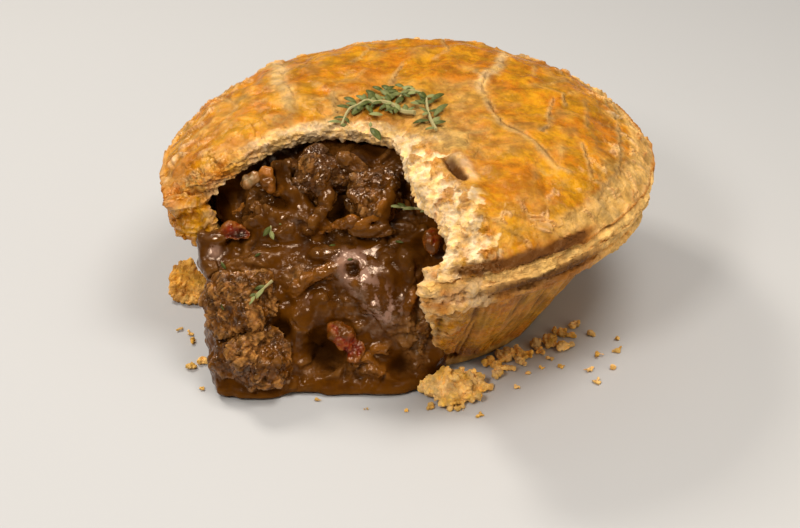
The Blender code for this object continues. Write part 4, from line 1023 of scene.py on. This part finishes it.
def shape_stew(obj):
    """Smooth folds, shreds and hollows of the gravy, with the masks that colour them; the hollows get
    painted shade.
    """
    co, normal = read_mesh(obj)
    shows = stew_shows(co, normal)
    co = relax(obj, co, 12)
    sway = layered_noise(co, 6.0, 2, 51)
    # Smooth and shining gravy
    smooth = near_places(co, GLOSSY_PLACES)
    centre, half_sizes, along, _ = (np.array(value) for value in WET_FOLD)
    reach = 0.75 * half_sizes[0] * along
    wet = bump(path_distance(co, (centre - reach, centre + reach)), 5.4)
    wet = np.maximum(wet, 0.8 * near_places(co, WET_PLACES))
    smooth = np.maximum(smooth, 0.7 * wet)
    co = co + smooth[:, None] * (relax(obj, co, 30) - co)
    # Meaty places, strands, and the pool at the foot
    meaty = smoothstep(0.05, 0.5, soft_noise(co, 9.0, 57) + 0.25)
    bits = near_places(co, MEATY_PLACES, 1.5 * sway)
    meaty = np.maximum(meaty, bits) * (1 - smooth)
    warm = np.zeros(len(co))
    for thick, points in STEW_STRANDS:
        warm = np.maximum(warm, bump(np.maximum(path_distance(co, points) - 0.6 * thick, 0), 0.9))
    pool = smoothstep(5.5, 2.0, co[:, 2]) * smoothstep(-34.0, -26.0, co[:, 0])
    pool = np.maximum(pool, smoothstep(3.0, 1.2, co[:, 2]))
    # How far the surface stands out
    lumps = billow(co, 3.8, 3, 53)
    folds = billow(co * (0.7, 1.3, 1.1), 8.0, 1, 61)
    _, border, number = cells(co + 1.2 * sway[:, None], 6.0, 71)
    chunks = smoothstep(0.02, 0.35, border) * (0.4 + 0.9 * number)
    rise = 1.5 * (folds - 0.3) + 0.3 * sway + (0.12 + 0.85 * meaty) * (lumps - 0.35)
    rise += (0.2 + 1.3 * meaty) * (chunks - 0.5)
    rise += warm * (0.7 * billow(co, 2.0, 2, 58) - 0.3)
    # Hollows: sunk, and darkened with painted shade
    dark = np.zeros(len(co))
    sink = np.zeros(len(co))
    for centre, reach, depth in STEW_HOLLOWS:
        near = bump(np.linalg.norm(co - centre, axis=1) + 0.8 * sway, reach)
        sink = np.maximum(sink, depth * near)
        dark = np.maximum(dark, near)
    rise *= (1 - 0.9 * pool) * (1 - 0.85 * smooth) * (1 - 0.6 * wet)
    rise += bits * 1.2 * (0.45 - cells(co, 1.6, 73)[0])
    co = co + normal * ((rise - sink) * shows)[:, None]
    co = relax(obj, co, 1)
    co = co + dark[:, None] * (relax(obj, co, 10) - co)

    # The masks
    normal = write_mesh(obj, co)
    wide = cavity(obj, co, normal, rounds=60, reach=1.2)
    store(obj, "wet", wet - dark - 0.3 * pool)
    store(obj, "meat", (0.5 * meaty + 0.5 * bits) * (1 - pool))
    store(obj, "stands", 0.7 * wide + 0.5 * cavity(obj, co, normal, rounds=10, reach=0.4))
    store(obj, "warm", warm)
    # Painted shade: the gravy is darkened in its creases, and far in where the lid shades it
    deep = 0.6 * smoothstep(-24, -14, co[:, 1]) * (1 - 0.6 * meaty) * (1 - warm)
    deep *= smoothstep(-46, -38, co[:, 0])
    store(obj, "hollow", np.maximum(dark, np.maximum(np.maximum(-wide, 0), deep)))


def stew_material(name, look, meat):
    """Gravy, or gravy-coated meat: glossy, with paler shreds standing out, hollows darkened with painted
    shade, and a painted sheen where it is wettest.
    """
    material, tree, shader = new_material(name)
    hollow = stored(tree, "hollow")
    stands = stored(tree, "stands")
    coarse = stored(tree, "meat")
    sauce = mottled(tree, look.gravy, look.gravy_deep, 6.0, 1.8, 0.8)
    beef = mottled(tree, look.beef, look.beef_deep, 2.2, 0.7, 0.9)
    share = ranged(tree, coarse, 0.1, 0.9, 0.0, 1.0 if meat else 0.7)
    colour = mixed(tree, share, sauce.outputs["Colour"], beef.outputs["Colour"])
    shreds = ranged(tree, stands, -0.1, 0.8, 0.0, 0.65 if meat else 0.15)
    if meat:
        shreds = times(tree, shreds, ranged(tree, coarse, 0.0, 1.0, 0.3, 1.0))
    colour = mixed(tree, shreds, colour, rgba(look.shred))
    if not meat:
        colour = laid_over(tree, colour, look.shred, coarse, 0.6, 1.0, 0.6)
    colour = laid_over(tree, colour, look.strand, stored(tree, "warm"), 0.2, 1.0, 0.55)
    if meat:
        speckle = ranged(tree, grain(tree, 420.0, 6.0, roughness=0.7), 0.34, 0.66, 0.45, 1.6)
        colour = mixed(tree, 1.0, colour, speckle, "MULTIPLY")
    wet = stored(tree, "wet")
    # Painted sheen: a paler colour laid where the gravy is wet, standing in for glare
    skin = times(tree, wet, ranged(tree, grain(tree, 330.0, 4.0), 0.4, 0.56))
    colour = laid_over(tree, colour, look.skin, skin, 0.3, 0.9, 0.7)
    # Painted shade in hollows, in creases and far in under the lid
    colour = laid_over(tree, colour, look.painted_hollow_shade, hollow, 0.05, 0.8, 0.8)
    film = grain(tree, 420.0, 3.0)
    rough = ranged(tree, film, 0.35, 0.7, 0.08, 0.18)
    rough = plus(tree, rough, times(tree, coarse, 0.2 if meat else 0.05))
    rough = plus(tree, rough, times(tree, computed(tree, "ABSOLUTE", wet), 0.1))
    # Glints come and go over the gravy, so that it has no even grey shine
    glints = ranged(tree, grain(tree, 640.0, 3.0), 0.5, 0.62, 0.0, 0.75)
    glints = times(tree, glints, ranged(tree, wet, -0.5, 0.3))
    shine = plus(tree, glints, ranged(tree, wet, -0.4, 1.0, 0.0, 0.9))
    set_inputs(tree, shader, {"Base Color": colour, "Roughness": rough, "Specular IOR Level": shine,
                              "Specular Tint": GRAVY_SHINE})
    crumbs = crumb_relief(tree, 0.7 if meat else 1.3, 1.2)
    calm = ranged(tree, coarse, 0.0, 1.0, 0.2, 1.0)
    ripple = times(tree, grain(tree, 330.0, 2.0), ranged(tree, wet, 0.3, 0.9, 0.0, 2.2))
    height = plus(tree, times(tree, crumbs, calm), ripple)
    raise_surface(tree, shader, height, depth=0.4, strength=0.6)
    return material


def clearance(co, tree):
    """How far points lie from the surface in a tree."""
    return np.array([tree.find_nearest(Vector(point) * MM)[3] for point in co]) / MM


def shape_beef(obj, gravy_share, seed, stew):
    """Crumbly braised beef: lumps that pull apart, smooth where gravy covers them."""
    co, normal = read_mesh(obj)
    co = relax(obj, co, 3)
    sway = layered_noise(co, 6.0, 2, seed)
    wet = smoothstep(0.35, -0.25, sway - 0.9 * (gravy_share - 0.5) + 0.25)
    wet = np.maximum(wet, smoothstep(1.6, 0.2, clearance(co, stew) + 0.5 * sway))
    grains = smoothstep(-0.3, 0.4, soft_noise(co, 4.0, seed + 8))
    crumble = 0.7 * (billow(co, 4.6, 3, seed + 3) - 0.4)
    fibres = cells(co * (1, 1, 0.7) + 0.5 * sway[:, None], 1.1, seed + 5)[0]
    crumble += (0.5 + 1.0 * grains) * (0.45 - fibres)
    crumble += 1.3 * (cells(co + 1.2 * sway[:, None], 3.4, seed + 6)[2] - 0.5)
    crumble += 0.7 * (cells(co + 0.6 * sway[:, None], 1.7, seed + 7)[2] - 0.5)
    rise = 0.5 * sway + crumble * (1 - 0.65 * wet) + 0.45
    co = co + normal * rise[:, None]
    co = relax(obj, co, 1, 0.15)
    normal = write_mesh(obj, co)
    wide = cavity(obj, co, normal, rounds=50, reach=1.1)
    store(obj, "meat", 1 - wet)
    store(obj, "stands", 0.5 * wide + 0.9 * cavity(obj, co, normal, rounds=8, reach=0.3))
    store(obj, "warm", np.zeros(len(co)))
    store(obj, "wet", 0.4 * wet - 0.15)
    # Painted shade: the beef is darkened in its creases, and far in where the lid shades it
    deep = 0.5 * smoothstep(-28, -17, co[:, 1]) * (0.4 + 0.6 * wet)
    store(obj, "hollow", np.maximum(np.maximum(-wide, 0) * 0.9, deep))


# ---------------------------------------------------------------- vegetables

def shape_vegetable(obj, seed, stew, curl):
    """A soft cooked strip, wrinkled or curled, with gravy on it where it sinks in the stew."""
    co, normal = read_mesh(obj)
    co = relax(obj, co, 6)
    wrinkle = layered_noise(co, 3.2, 3, seed)
    co = co + normal * ((0.9 if curl else 0.4) + 0.7 * wrinkle)[:, None]
    dark = np.zeros(len(co))
    if curl:
        centre, reach, depth = curl
        dark = bump(np.linalg.norm((co - centre) * (0.7, 1, 1.2), axis=1) + 0.3 * wrinkle, reach)
        co = co - normal * (depth * dark)[:, None]
    co = relax(obj, co, 1)
    normal = write_mesh(obj, co)
    store(obj, "edge", cavity(obj, co, normal, rounds=30, reach=0.5))
    # Painted shade inside the curl
    store(obj, "hollow", 0.9 * dark)
    sunk = smoothstep(1.5, 0.1, clearance(co, stew) + 0.35 * soft_noise(co, 1.6, seed + 4))
    coat = np.maximum(sunk, 0.8 * smoothstep(-0.2, 0.3, soft_noise(co, 2.8, seed + 2)))
    store(obj, "coat", coat * (1 - 0.8 * np.clip(2 * dark, 0, 1)))


def vegetable_material(name, colour, deep, look):
    """Wet cooked vegetable, stained and part covered by gravy."""
    material, tree, shader = new_material(name)
    flesh = mottled(tree, colour, deep, 2.5, 0.8, 0.8)
    coat = stored(tree, "coat")
    shade = laid_over(tree, flesh.outputs["Colour"], look.strand, stored(tree, "edge"), 0.0, 0.7, 0.6)
    shade = laid_over(tree, shade, look.gravy, coat, 0.0, 1.0, 0.95)
    # Painted shade inside the curl
    shade = laid_over(tree, shade, look.painted_hollow_shade, stored(tree, "hollow"), 0.3, 0.9)
    rough = ranged(tree, grain(tree, 500.0), 0.3, 0.7, 0.12, 0.3)
    set_inputs(tree, shader, {"Base Color": shade, "Roughness": rough, "Specular Tint": VEGETABLE_SHINE})
    raise_surface(tree, shader, grain(tree, 900.0, 4.0), depth=0.25, strength=0.4)
    return material


# ---------------------------------------------------------------- thyme

def add_rings(bm, rings, layers, values):
    """A closed surface over rings of points in millimetres; values go to the layers of every point."""
    made = []
    for ring in rings:
        made.append([bm.verts.new(Vector(point) * MM) for point in ring])
    count = len(made[0])
    for low, high in zip(made, made[1:]):
        for k in range(count):
            bm.faces.new((low[k], low[(k + 1) % count], high[(k + 1) % count], high[k]))
    bm.faces.new(tuple(reversed(made[0])))
    bm.faces.new(tuple(made[-1]))
    for ring in made:
        for vert in ring:
            for layer, value in zip(layers, values):
                vert[layer] = value


def add_stem(bm, points, thick, layers):
    """A thin stem with knots, thinner towards its end."""
    points = [Vector(point) for point in points]
    rings = []
    for number, point in enumerate(points):
        along = points[min(number + 1, len(points) - 1)] - points[max(number - 1, 0)]
        side = along.cross(Vector((0, 0, 1))).normalized()
        over = side.cross(along).normalized()
        size = thick * (1 - 0.5 * number / len(points)) * (1.0 + 0.12 * (number % 2))
        turns = (k * math.pi / 3 for k in range(6))
        rings.append([point + size * (side * math.cos(turn) + over * math.sin(turn)) for turn in turns])
    add_rings(bm, rings, layers, (1.0, 0.5))


def add_thyme_leaf(bm, foot, tip, width, pale, layers, lift=Vector((0, 0, 1))):
    """A small pointed leaf with its edges rolled under, arched between its foot and its tip."""
    foot, tip = Vector(foot), Vector(tip)
    along = tip - foot
    side = along.cross(lift).normalized()
    over = side.cross(along).normalized()
    rings = []
    for step in range(LEAF_RINGS):
        share = step / (LEAF_RINGS - 1)
        half = 0.5 * width * max(math.sin(math.pi * min(share * 0.93 + 0.05, 1.0)) ** 0.8, 0.08)
        middle = foot + along * share + over * along.length * LEAF_ARCH * math.sin(math.pi * share)
        ring = []
        for k in range(LEAF_SIDES):
            turn = 2 * math.pi * k / LEAF_SIDES
            out = math.cos(turn)
            height = 0.16 * math.sin(turn) * (1 - 0.5 * abs(out)) - 0.42 * half * out * out
            height -= 0.12 * math.exp(-(out * 4) ** 2) * (math.sin(turn) > 0)
            ring.append(middle + side * half * out + over * height)
        rings.append(ring)
    add_rings(bm, rings, layers, (0.0, pale))


def start_thyme():
    """An empty bmesh with the numbers that colour thyme."""
    bm = bmesh.new()
    return bm, [bm.verts.layers.float.new(name) for name in ("stem", "pale")]


def rounded(points):
    """A smooth line through points."""
    points = [Vector(point) for point in points]
    ends = [points[0] * 2 - points[1]] + points + [points[-1] * 2 - points[-2]]
    result = []
    for a, b, c, d in zip(ends, ends[1:], ends[2:], ends[3:]):
        for step in range(STEM_STEPS):
            t = step / STEM_STEPS
            result.append(0.5 * (2 * b + (c - a) * t + (2 * a - 5 * b + 4 * c - d) * t * t
                                 + (3 * b - a - 3 * c + d) * t ** 3))
    return result + [points[-1]]


def surface_height(tree, x, y):
    """Height of a surface at a plan place, or of its edge beside the place, in millimetres."""
    above = Vector((x, y, 100)) * MM
    hit = tree.ray_cast(above, Vector((0, 0, -1)))[0] or tree.find_nearest(above)[0]
    return hit.z / MM


def sprig_mesh(lid):
    """The sprig: stems that follow the lid, small leaves in pairs on them and the larger leaves."""
    rng = np.random.default_rng(LEAF_SEED)
    bm, layers = start_thyme()
    for thick, corners in SPRIG_STEMS:
        line = rounded([(x, y, surface_height(lid, x, y) + thick + 0.5) for x, y in corners])
        add_stem(bm, line, thick, layers)
        for knot in range(LEAF_SPACING, len(line), LEAF_SPACING):
            along = line[knot] - line[knot - 1]
            for side in (-1, 1):
                spread = side * rng.uniform(35, 75) + (180 if rng.random() < 0.2 else 0)
                heading = math.atan2(along.y, along.x) + math.radians(spread)
                size = rng.uniform(2.4, 3.8)
                tip = line[knot] + Vector((math.cos(heading), math.sin(heading), 0)) * size
                lowest = max(surface_height(lid, tip.x, tip.y) + 0.5, line[knot].z - 1.0)
                tip.z = lowest + rng.uniform(0.1, 1.6)
                add_thyme_leaf(bm, line[knot], tip, 0.44 * size, rng.uniform(0, 0.9), layers)
    for (fx, fy), (tx, ty), width, pale in SPRIG_LEAVES:
        foot = (fx, fy, surface_height(lid, fx, fy) + 1.0)
        tip = (tx, ty, surface_height(lid, tx, ty) + 0.7 + 1.1 * pale)
        add_thyme_leaf(bm, foot, tip, width, pale, layers)
    return mesh_of(bm)


def thyme_bit_mesh(foot, heading, tilt, length, leaves):
    """A bit of thyme: leaves along a short stem, or leaves alone where the stem is under 2 mm."""
    bm, layers = start_thyme()
    turn = spin(heading, "Z") @ spin(-tilt, "Y")
    foot, along = Vector(foot), turn @ Vector((1, 0, 0))
    if length > 2:
        add_stem(bm, rounded([foot + along * length * k / 3 for k in range(4)]), 0.36, layers)
    for number, (share, side, size) in enumerate(leaves):
        start = foot + along * length * share
        spread = turn @ spin(side, "Z") @ Vector((1, 0, 0.1))
        width, pale = 0.36 * size + 0.3, 0.3 + 0.5 * (number % 2)
        lift = turn @ Vector((0, 0, 1))
        add_thyme_leaf(bm, start, start + spread * size, width, pale, layers, lift=lift)
    return mesh_of(bm)


def fleck_mesh(stew):
    """Single leaves that lie on the stew."""
    bm, layers = start_thyme()
    for place, heading, size in THYME_FLECKS:
        found, out = stew.find_nearest(Vector(place) * MM)[:2]
        along = spin(heading, "Z") @ Vector((1, 0, 0))
        along = (along - out * along.dot(out)).normalized()
        start = found / MM + out * 0.3
        add_thyme_leaf(bm, start, start + along * size, 0.3 * size + 0.2, 0.2, layers, lift=out)
    return mesh_of(bm)


def thyme_material(look):
    """Grey-green leaves, paler undersides and straw-coloured stems."""
    material, tree, shader = new_material("thyme_green")
    leaf = mottled(tree, look.leaf, look.leaf_deep, 1.2, 0.4, 0.8)
    colour = laid_over(tree, leaf.outputs["Colour"], look.leaf_pale, stored(tree, "pale"), 0.2, 1.0, 0.8)
    colour = mixed(tree, stored(tree, "stem"), colour, rgba(look.stem))
    set_inputs(tree, shader, {"Base Color": colour, "Roughness": 0.5, "Specular IOR Level": 0.3,
                              "Specular Tint": THYME_SHINE})
    raise_surface(tree, shader, grain(tree, 2500.0, 2.0), depth=0.06, strength=0.5)
    return material


# ---------------------------------------------------------------- crumbs

def heap_mesh(rng, solid_mesh):
    """Lumps on the corners of the clump's solid."""
    bm = bmesh.new()
    corners = [vert.co / MM for vert in solid_mesh.vertices]
    for number in rng.choice(len(corners), CLUMP_LUMPS):
        half = rng.uniform(0.5, 1.4, 3)
        turn = Matrix.Rotation(rng.uniform(0, math.pi), 3, "Z")
        add_blob(bm, corners[number], half, turn, 2)
    return mesh_of(bm)


def scatter_mesh(rng):
    """The loose crumbs."""
    bm = bmesh.new()
    for x, y, size in CRUMBS:
        crumb_cluster(rng, bm, x, y, size)
    return mesh_of(bm)


def flake_mesh():
    """The golden flake at the left foot."""
    bm = bmesh.new()
    for centre, half_sizes, heading, lean in FOOT_FLAKE:
        add_blob(bm, centre, half_sizes, spin(heading, "Z") @ spin(lean, "X"))
    return mesh_of(bm)


def add_crumbs(name, sources, seed, golden, material, nodes=()):
    """A piece of crumbs: meshes melted into one whole, with a broken surface."""
    crumbs = melted(sources, name)
    shape_crumbs(crumbs, seed, golden)
    new_object(name, taken_mesh(crumbs), material, nodes)


def crumb_cluster(rng, bm, x, y, size):
    """A few small lumps and a flake that make one crumb on the table."""
    for _ in range(CRUMB_LUMPS):
        dx, dy = rng.uniform(-0.65, 0.65, 2) * size
        half = size * rng.uniform(0.16, 0.6, 3)
        turn = Matrix.Rotation(rng.uniform(0, math.pi), 3, "Z")
        turn = turn @ Matrix.Rotation(rng.uniform(-0.9, 0.9), 3, "X")
        add_blob(bm, (x + dx, y + dy, 0.8 * half.mean()), (half.max(), half.mean(), half.min()), turn, 2)


def shape_crumbs(obj, seed, golden):
    """Broken, porous surface of crumbs, with the masks that colour them."""
    co, normal = read_mesh(obj)
    co = relax(obj, co, 1)
    rise = 1.2 * (billow(co, 2.6, 3, seed) - 0.4) + 0.7 * (0.5 - cells(co, 1.2, seed + 2)[0])
    co = co + normal * rise[:, None]
    normal = write_mesh(obj, co)
    stands = cavity(obj, co, normal, rounds=12, reach=0.4)
    drift = soft_noise(co, 5.0, seed + 4) + 0.6 * soft_noise(co, 1.6, seed + 6)
    glaze = (0.3 + 0.3 * golden) * smoothstep(-0.1, 0.7, drift + golden)
    store(obj, "layers", np.zeros(len(co)))
    store(obj, "glaze", glaze)
    toast = np.maximum(stands, 0) * glaze + 1.6 * np.maximum(golden, 0) * smoothstep(-0.3, 0.6, drift)
    store(obj, "toast", 0.3 * toast)
    store(obj, "bare", 0.05 + 0.35 * smoothstep(-0.4, 0.4, -drift - golden))
    # Painted shade in the crumbs' pits
    store(obj, "hollow", 0.12 * np.maximum(-stands, 0))


# ---------------------------------------------------------------- what a user can change

def tint(name, description, default):
    """A colour that a user can set."""
    return FloatVectorProperty(
        name=name, description=description, default=default, subtype="COLOR", size=3, min=0, max=1)


def power(name, description, default):
    """The power of a light that a user can set."""
    return FloatProperty(name=name, description=description, default=default, min=0, unit="POWER")


class CrustLook(bpy.types.PropertyGroup):
    """Relief and colours of the pastry."""

    blister_height: FloatProperty(name="Blister Height", description="Rise of the lid's blisters, in mm",
                                  default=1.1, min=0, max=4)
    crack_depth: FloatProperty(name="Crack Depth", description="Depth of the splits in the glaze, in mm",
                               default=0.9, min=0, max=3)
    glaze: tint("Glaze", "Golden egg glaze", (0.5, 0.215, 0.003))
    amber: tint("Amber", "Deeper patches of the glaze", (0.42, 0.125, 0.001))
    pale: tint("Pale Crust", "Crust with little glaze", (0.36, 0.185, 0.045))
    straw: tint("Straw", "Yellow patches of bare crust", (0.52, 0.3, 0.075))
    cream: tint("Cream", "Torn inner pastry", (0.8, 0.6, 0.37))
    crumbly: tint("Crumbly", "Yellower parts of the torn pastry", (0.9, 0.54, 0.16))
    crumb_deep: tint("Golden Crumbs", "Deeper parts of the crumbs", (0.95, 0.52, 0.06))
    toasted: tint("Toasted", "Browned high spots", (0.44, 0.13, 0.003))
    # Painted shade colour, laid in recesses, the seam groove and the steam hole; partly the real brown of
    # the splits
    seared_and_shade: tint("Seared", "Dark brown grooves", (0.085, 0.023, 0.003))


class StewLook(bpy.types.PropertyGroup):
    """Colours of the stew and its vegetables."""

    gravy: tint("Gravy", "Thick ale gravy", (0.102, 0.03, 0.001))
    gravy_deep: tint("Deep Gravy", "Darker patches of gravy", (0.06, 0.017, 0.0015))
    # Painted shade colour for the hollows of the stew, the beef and the vegetables
    painted_hollow_shade: tint("Hollows", "Dark hollows in the stew", (0.014, 0.004, 0.001))
    # Painted sheen colour, laid on the wettest gravy as a pale glare
    skin: tint("Skin", "Paler skin on thick gravy", (0.4, 0.22, 0.15))
    shred: tint("Shreds", "Shreds that stand out of the gravy", (0.36, 0.16, 0.036))
    strand: tint("Strands", "Orange-brown strands of meat and onion", (0.3, 0.1, 0.01))
    beef: tint("Beef", "Braised beef", (0.23, 0.09, 0.02))
    beef_deep: tint("Deep Beef", "Darker patches of beef", (0.08, 0.028, 0.006))
    pepper: tint("Red Pepper", "Cooked red pepper", (0.19, 0.014, 0.002))
    pepper_deep: tint("Deep Pepper", "Darker patches of pepper", (0.08, 0.005, 0.001))
    carrot: tint("Carrot", "Cooked carrot", (0.34, 0.105, 0.011))
    carrot_deep: tint("Deep Carrot", "Darker patches of carrot", (0.24, 0.07, 0.008))
    onion: tint("Onion", "Cooked onion", (0.25, 0.16, 0.07))
    onion_deep: tint("Deep Onion", "Stained patches of onion", (0.14, 0.075, 0.025))


class ThymeLook(bpy.types.PropertyGroup):
    """Colours of the thyme."""

    leaf: tint("Leaf", "Thyme leaves", (0.085, 0.095, 0.016))
    leaf_deep: tint("Deep Leaf", "Darker parts of leaves", (0.028, 0.038, 0.005))
    leaf_pale: tint("Pale Leaf", "Undersides of leaves", (0.3, 0.3, 0.11))
    stem: tint("Stem", "Thyme stems", (0.36, 0.3, 0.13))


class StageLook(bpy.types.PropertyGroup):
    """Floor and light."""

    floor: tint("Floor", "Floor colour", (0.49, 0.48, 0.47))
    key_power: power("Key", "Power of the main light", 1.6)
    top_power: power("Top", "Power of the light overhead", 1.5)
    fill_power: power("Fill", "Power of the fill light", 1.4)
    low_power: power("Low", "Power of the low warm light", 0.36)
    sky: FloatProperty(name="Sky", description="Brightness of the surroundings", default=0.3, min=0, max=5)


# ---------------------------------------------------------------- the stage

def add_floor(colour):
    """A wide flat floor just under the pie."""
    material, tree, shader = new_material("floor")
    set_inputs(tree, shader, {"Base Color": rgba(colour), "Roughness": 0.8})
    mesh = bpy.data.meshes.new("floor")
    corners = [(x * FLOOR_HALF, y * FLOOR_HALF, 0) for x, y in ((-1, -1), (1, -1), (1, 1), (-1, 1))]
    mesh.from_pydata(corners, [], [(0, 1, 2, 3)])
    mesh.materials.append(material)
    floor = linked("floor", mesh)
    floor.location.z = FLOOR_Z


def add_sky(scene, brightness):
    """Surroundings that are brightest above."""
    world = bpy.data.worlds.new("studio")
    world.use_nodes = True
    tree = world.node_tree
    ray = add_node(tree, "ShaderNodeTexCoord").outputs["Generated"]
    inputs = {0: ray, 1: SKY_AIM}
    aim = add_node(tree, "ShaderNodeVectorMath", inputs, operation="DOT_PRODUCT")
    level = ranged(tree, aim.outputs["Value"], 0.3, 1.0, 0.22 * brightness, 1.7 * brightness)
    set_inputs(tree, tree.nodes["Background"], {"Color": SKY_COLOUR, "Strength": level})
    scene.world = world


def add_lights(look):
    """Square lights that face the pie."""
    for name, (size, place, colour) in LIGHTS.items():
        data = bpy.data.lights.new(name, "AREA")
        data.energy = getattr(look, name + "_power")
        data.size = size
        data.color = colour
        lamp = linked(name, data)
        lamp.location = Vector(place) * MM
        aim = Vector(LIGHT_TARGET) - lamp.location
        lamp.rotation_euler = aim.to_track_quat("-Z", "Y").to_euler()


def add_camera(scene):
    """The photo's camera: in front of the pie, looking down, with a slight roll."""
    camera = linked("camera", bpy.data.cameras.new("camera"))
    tilt = math.radians(CAMERA_ELEVATION)
    back = Vector((0, -math.cos(tilt), math.sin(tilt)))
    right = Vector((1, 0, 0))
    above = right.cross(-back)
    roll = math.radians(CAMERA_ROLL)
    across = right * math.cos(roll) + above * math.sin(roll)
    upright = above * math.cos(roll) - right * math.sin(roll)
    turn = Matrix((across, upright, back)).transposed().to_4x4()
    place = (Vector(CAMERA_TARGET) + back * CAMERA_DISTANCE) * MM
    camera.matrix_world = Matrix.Translation(place) @ turn
    camera.data.lens = CAMERA_LENS
    camera.data.clip_start = 0.01
    scene.camera = camera


# ---------------------------------------------------------------- operators

class PIE_OT_stage(bpy.types.Operator):
    """Floor, lights and camera"""

    bl_idname = "pie.stage"
    bl_label = "Stage"

    def execute(self, context):
        look = context.scene.pie_stage
        add_floor(look.floor)
        add_sky(context.scene, look.sky)
        add_lights(look)
        add_camera(context.scene)
        context.scene.view_settings.view_transform = "Standard"
        return {"FINISHED"}


class PIE_OT_crust(bpy.types.Operator):
    """Lid and case"""

    bl_idname = "pie.crust"
    bl_label = "Crust"

    def execute(self, context):
        look = context.scene.pie_crust
        lid_finish = crust_material("baked_lid", look)
        lid = melted([solid("pastry_lid")], "lid", hidden_lid)
        shape_lid(lid, look)
        new_object("lid", taken_mesh(lid), lid_finish, ["pastry_lid"])
        case = melted([solid("pastry_case")], "case", hidden_case)
        shape_case(case)
        case_finish = crust_material("baked_case", look)
        new_object("case", taken_mesh(case), case_finish, ["pastry_case"])
        return {"FINISHED"}


class PIE_OT_stew(bpy.types.Operator):
    """Gravy with its shreds and hollows"""

    bl_idname = "pie.stew"
    bl_label = "Stew"

    def execute(self, context):
        look = context.scene.pie_stew
        sources = [solid("filling")]
        sources += [shrunk(solid(name), BEEF_SUNK) for name in BEEF_COATING]
        sources.append(fold_mesh())
        base = melted(sources, "stew_base")
        sources.append(shred_blobs(base))
        bpy.data.objects.remove(base)
        stew = melted(sources, "stew", hidden_stew)
        shape_stew(stew)
        material = stew_material("ale_gravy", look, False)
        new_object("stew", taken_mesh(stew), material, ["filling"])
        return {"FINISHED"}


class PIE_OT_beef(bpy.types.Operator):
    """Chunks of braised beef"""

    bl_idname = "pie.beef"
    bl_label = "Beef"

    def execute(self, context):
        look = context.scene.pie_stew
        material = stew_material("braised_beef", look, True)
        stew = surface_tree("stew")
        for number, (node, gravy_share) in enumerate(BEEF_COATING.items()):
            chunk = melted([solid(node)], "beef")
            shape_beef(chunk, gravy_share, seed=60 + 9 * number, stew=stew)
            new_object(node + "_braised", taken_mesh(chunk), material, [node])
        return {"FINISHED"}


class PIE_OT_vegetables(bpy.types.Operator):
    """Pepper, carrot and onion in the stew"""

    bl_idname = "pie.vegetables"
    bl_label = "Vegetables"

    def execute(self, context):
        look = context.scene.pie_stew
        materials = {
            "red_pepper": vegetable_material("red_pepper", look.pepper, look.pepper_deep, look),
            "cooked_carrot": vegetable_material("cooked_carrot", look.carrot, look.carrot_deep, look),
            "cooked_onion": vegetable_material("cooked_onion", look.onion, look.onion_deep, look)}
        stew = surface_tree("stew")
        for number, (node, slot) in enumerate(VEGETABLES.items()):
            strip = melted([solid(node)], "vegetable")
            shape_vegetable(strip, seed=120 + 7 * number, stew=stew, curl=CURLS.get(node))
            new_object(node + "_cooked", taken_mesh(strip), materials[slot], [node])
        return {"FINISHED"}


class PIE_OT_thyme(bpy.types.Operator):
    """The sprig on the lid and the bits on the stew"""

    bl_idname = "pie.thyme"
    bl_label = "Thyme"

    def execute(self, context):
        material = thyme_material(context.scene.pie_thyme)
        new_object("sprig", sprig_mesh(surface_tree("lid")), material, ["thyme_sprig"])
        for node, bit in THYME_BITS.items():
            new_object(node + "_leaves", thyme_bit_mesh(*bit), material, [node])
        new_object("thyme_flecks", fleck_mesh(surface_tree("stew")), material)
        return {"FINISHED"}


class PIE_OT_crumbs(bpy.types.Operator):
    """Crumbs of crust round the foot"""

    bl_idname = "pie.crumbs"
    bl_label = "Crumbs"

    def execute(self, context):
        rng = np.random.default_rng(CRUMB_SEED)
        material = crust_material("crumb", context.scene.pie_crust, loose=True)
        clump = solid("crumb_clump")
        add_crumbs("clump", [clump, heap_mesh(rng, clump)], 91, -0.1, material, ["crumb_clump"])
        add_crumbs("crumbs", [scatter_mesh(rng)], 95, 0.05, material)
        add_crumbs("foot_flake", [flake_mesh()], 99, 0.75, material)
        return {"FINISHED"}


class PIE_PT_panel(bpy.types.Panel):
    """Buttons that build the pie piece by piece"""

    bl_label = "Steak and Ale Pie"
    bl_idname = "PIE_PT_panel"
    bl_space_type = "VIEW_3D"
    bl_region_type = "UI"
    bl_category = "Pie"

    def draw(self, context):
        layout = self.layout
        for operator in OPERATORS:
            layout.operator(operator.bl_idname)
        for look in (getattr(context.scene, name) for name in LOOKS):
            box = layout.box()
            for name in look.__annotations__:
                box.prop(look, name)


LOOKS = {"pie_stage": StageLook, "pie_crust": CrustLook, "pie_stew": StewLook, "pie_thyme": ThymeLook}
OPERATORS = (PIE_OT_stage, PIE_OT_crust, PIE_OT_stew, PIE_OT_beef, PIE_OT_vegetables, PIE_OT_thyme,
             PIE_OT_crumbs)


def register():
    for group in LOOKS.values():
        bpy.utils.register_class(group)
    for operator in OPERATORS:
        bpy.utils.register_class(operator)
    bpy.utils.register_class(PIE_PT_panel)
    for name, group in LOOKS.items():
        setattr(bpy.types.Scene, name, PointerProperty(type=group))


def unregister():
    for name in LOOKS:
        delattr(bpy.types.Scene, name)
    bpy.utils.unregister_class(PIE_PT_panel)
    for operator in reversed(OPERATORS):
        bpy.utils.unregister_class(operator)
    for group in LOOKS.values():
        bpy.utils.unregister_class(group)


def main():
    register()
    bpy.ops.pie.stage()
    bpy.ops.pie.crust()
    bpy.ops.pie.stew()
    bpy.ops.pie.beef()
    bpy.ops.pie.vegetables()
    bpy.ops.pie.thyme()
    bpy.ops.pie.crumbs()


if __name__ == "__main__":
    main()
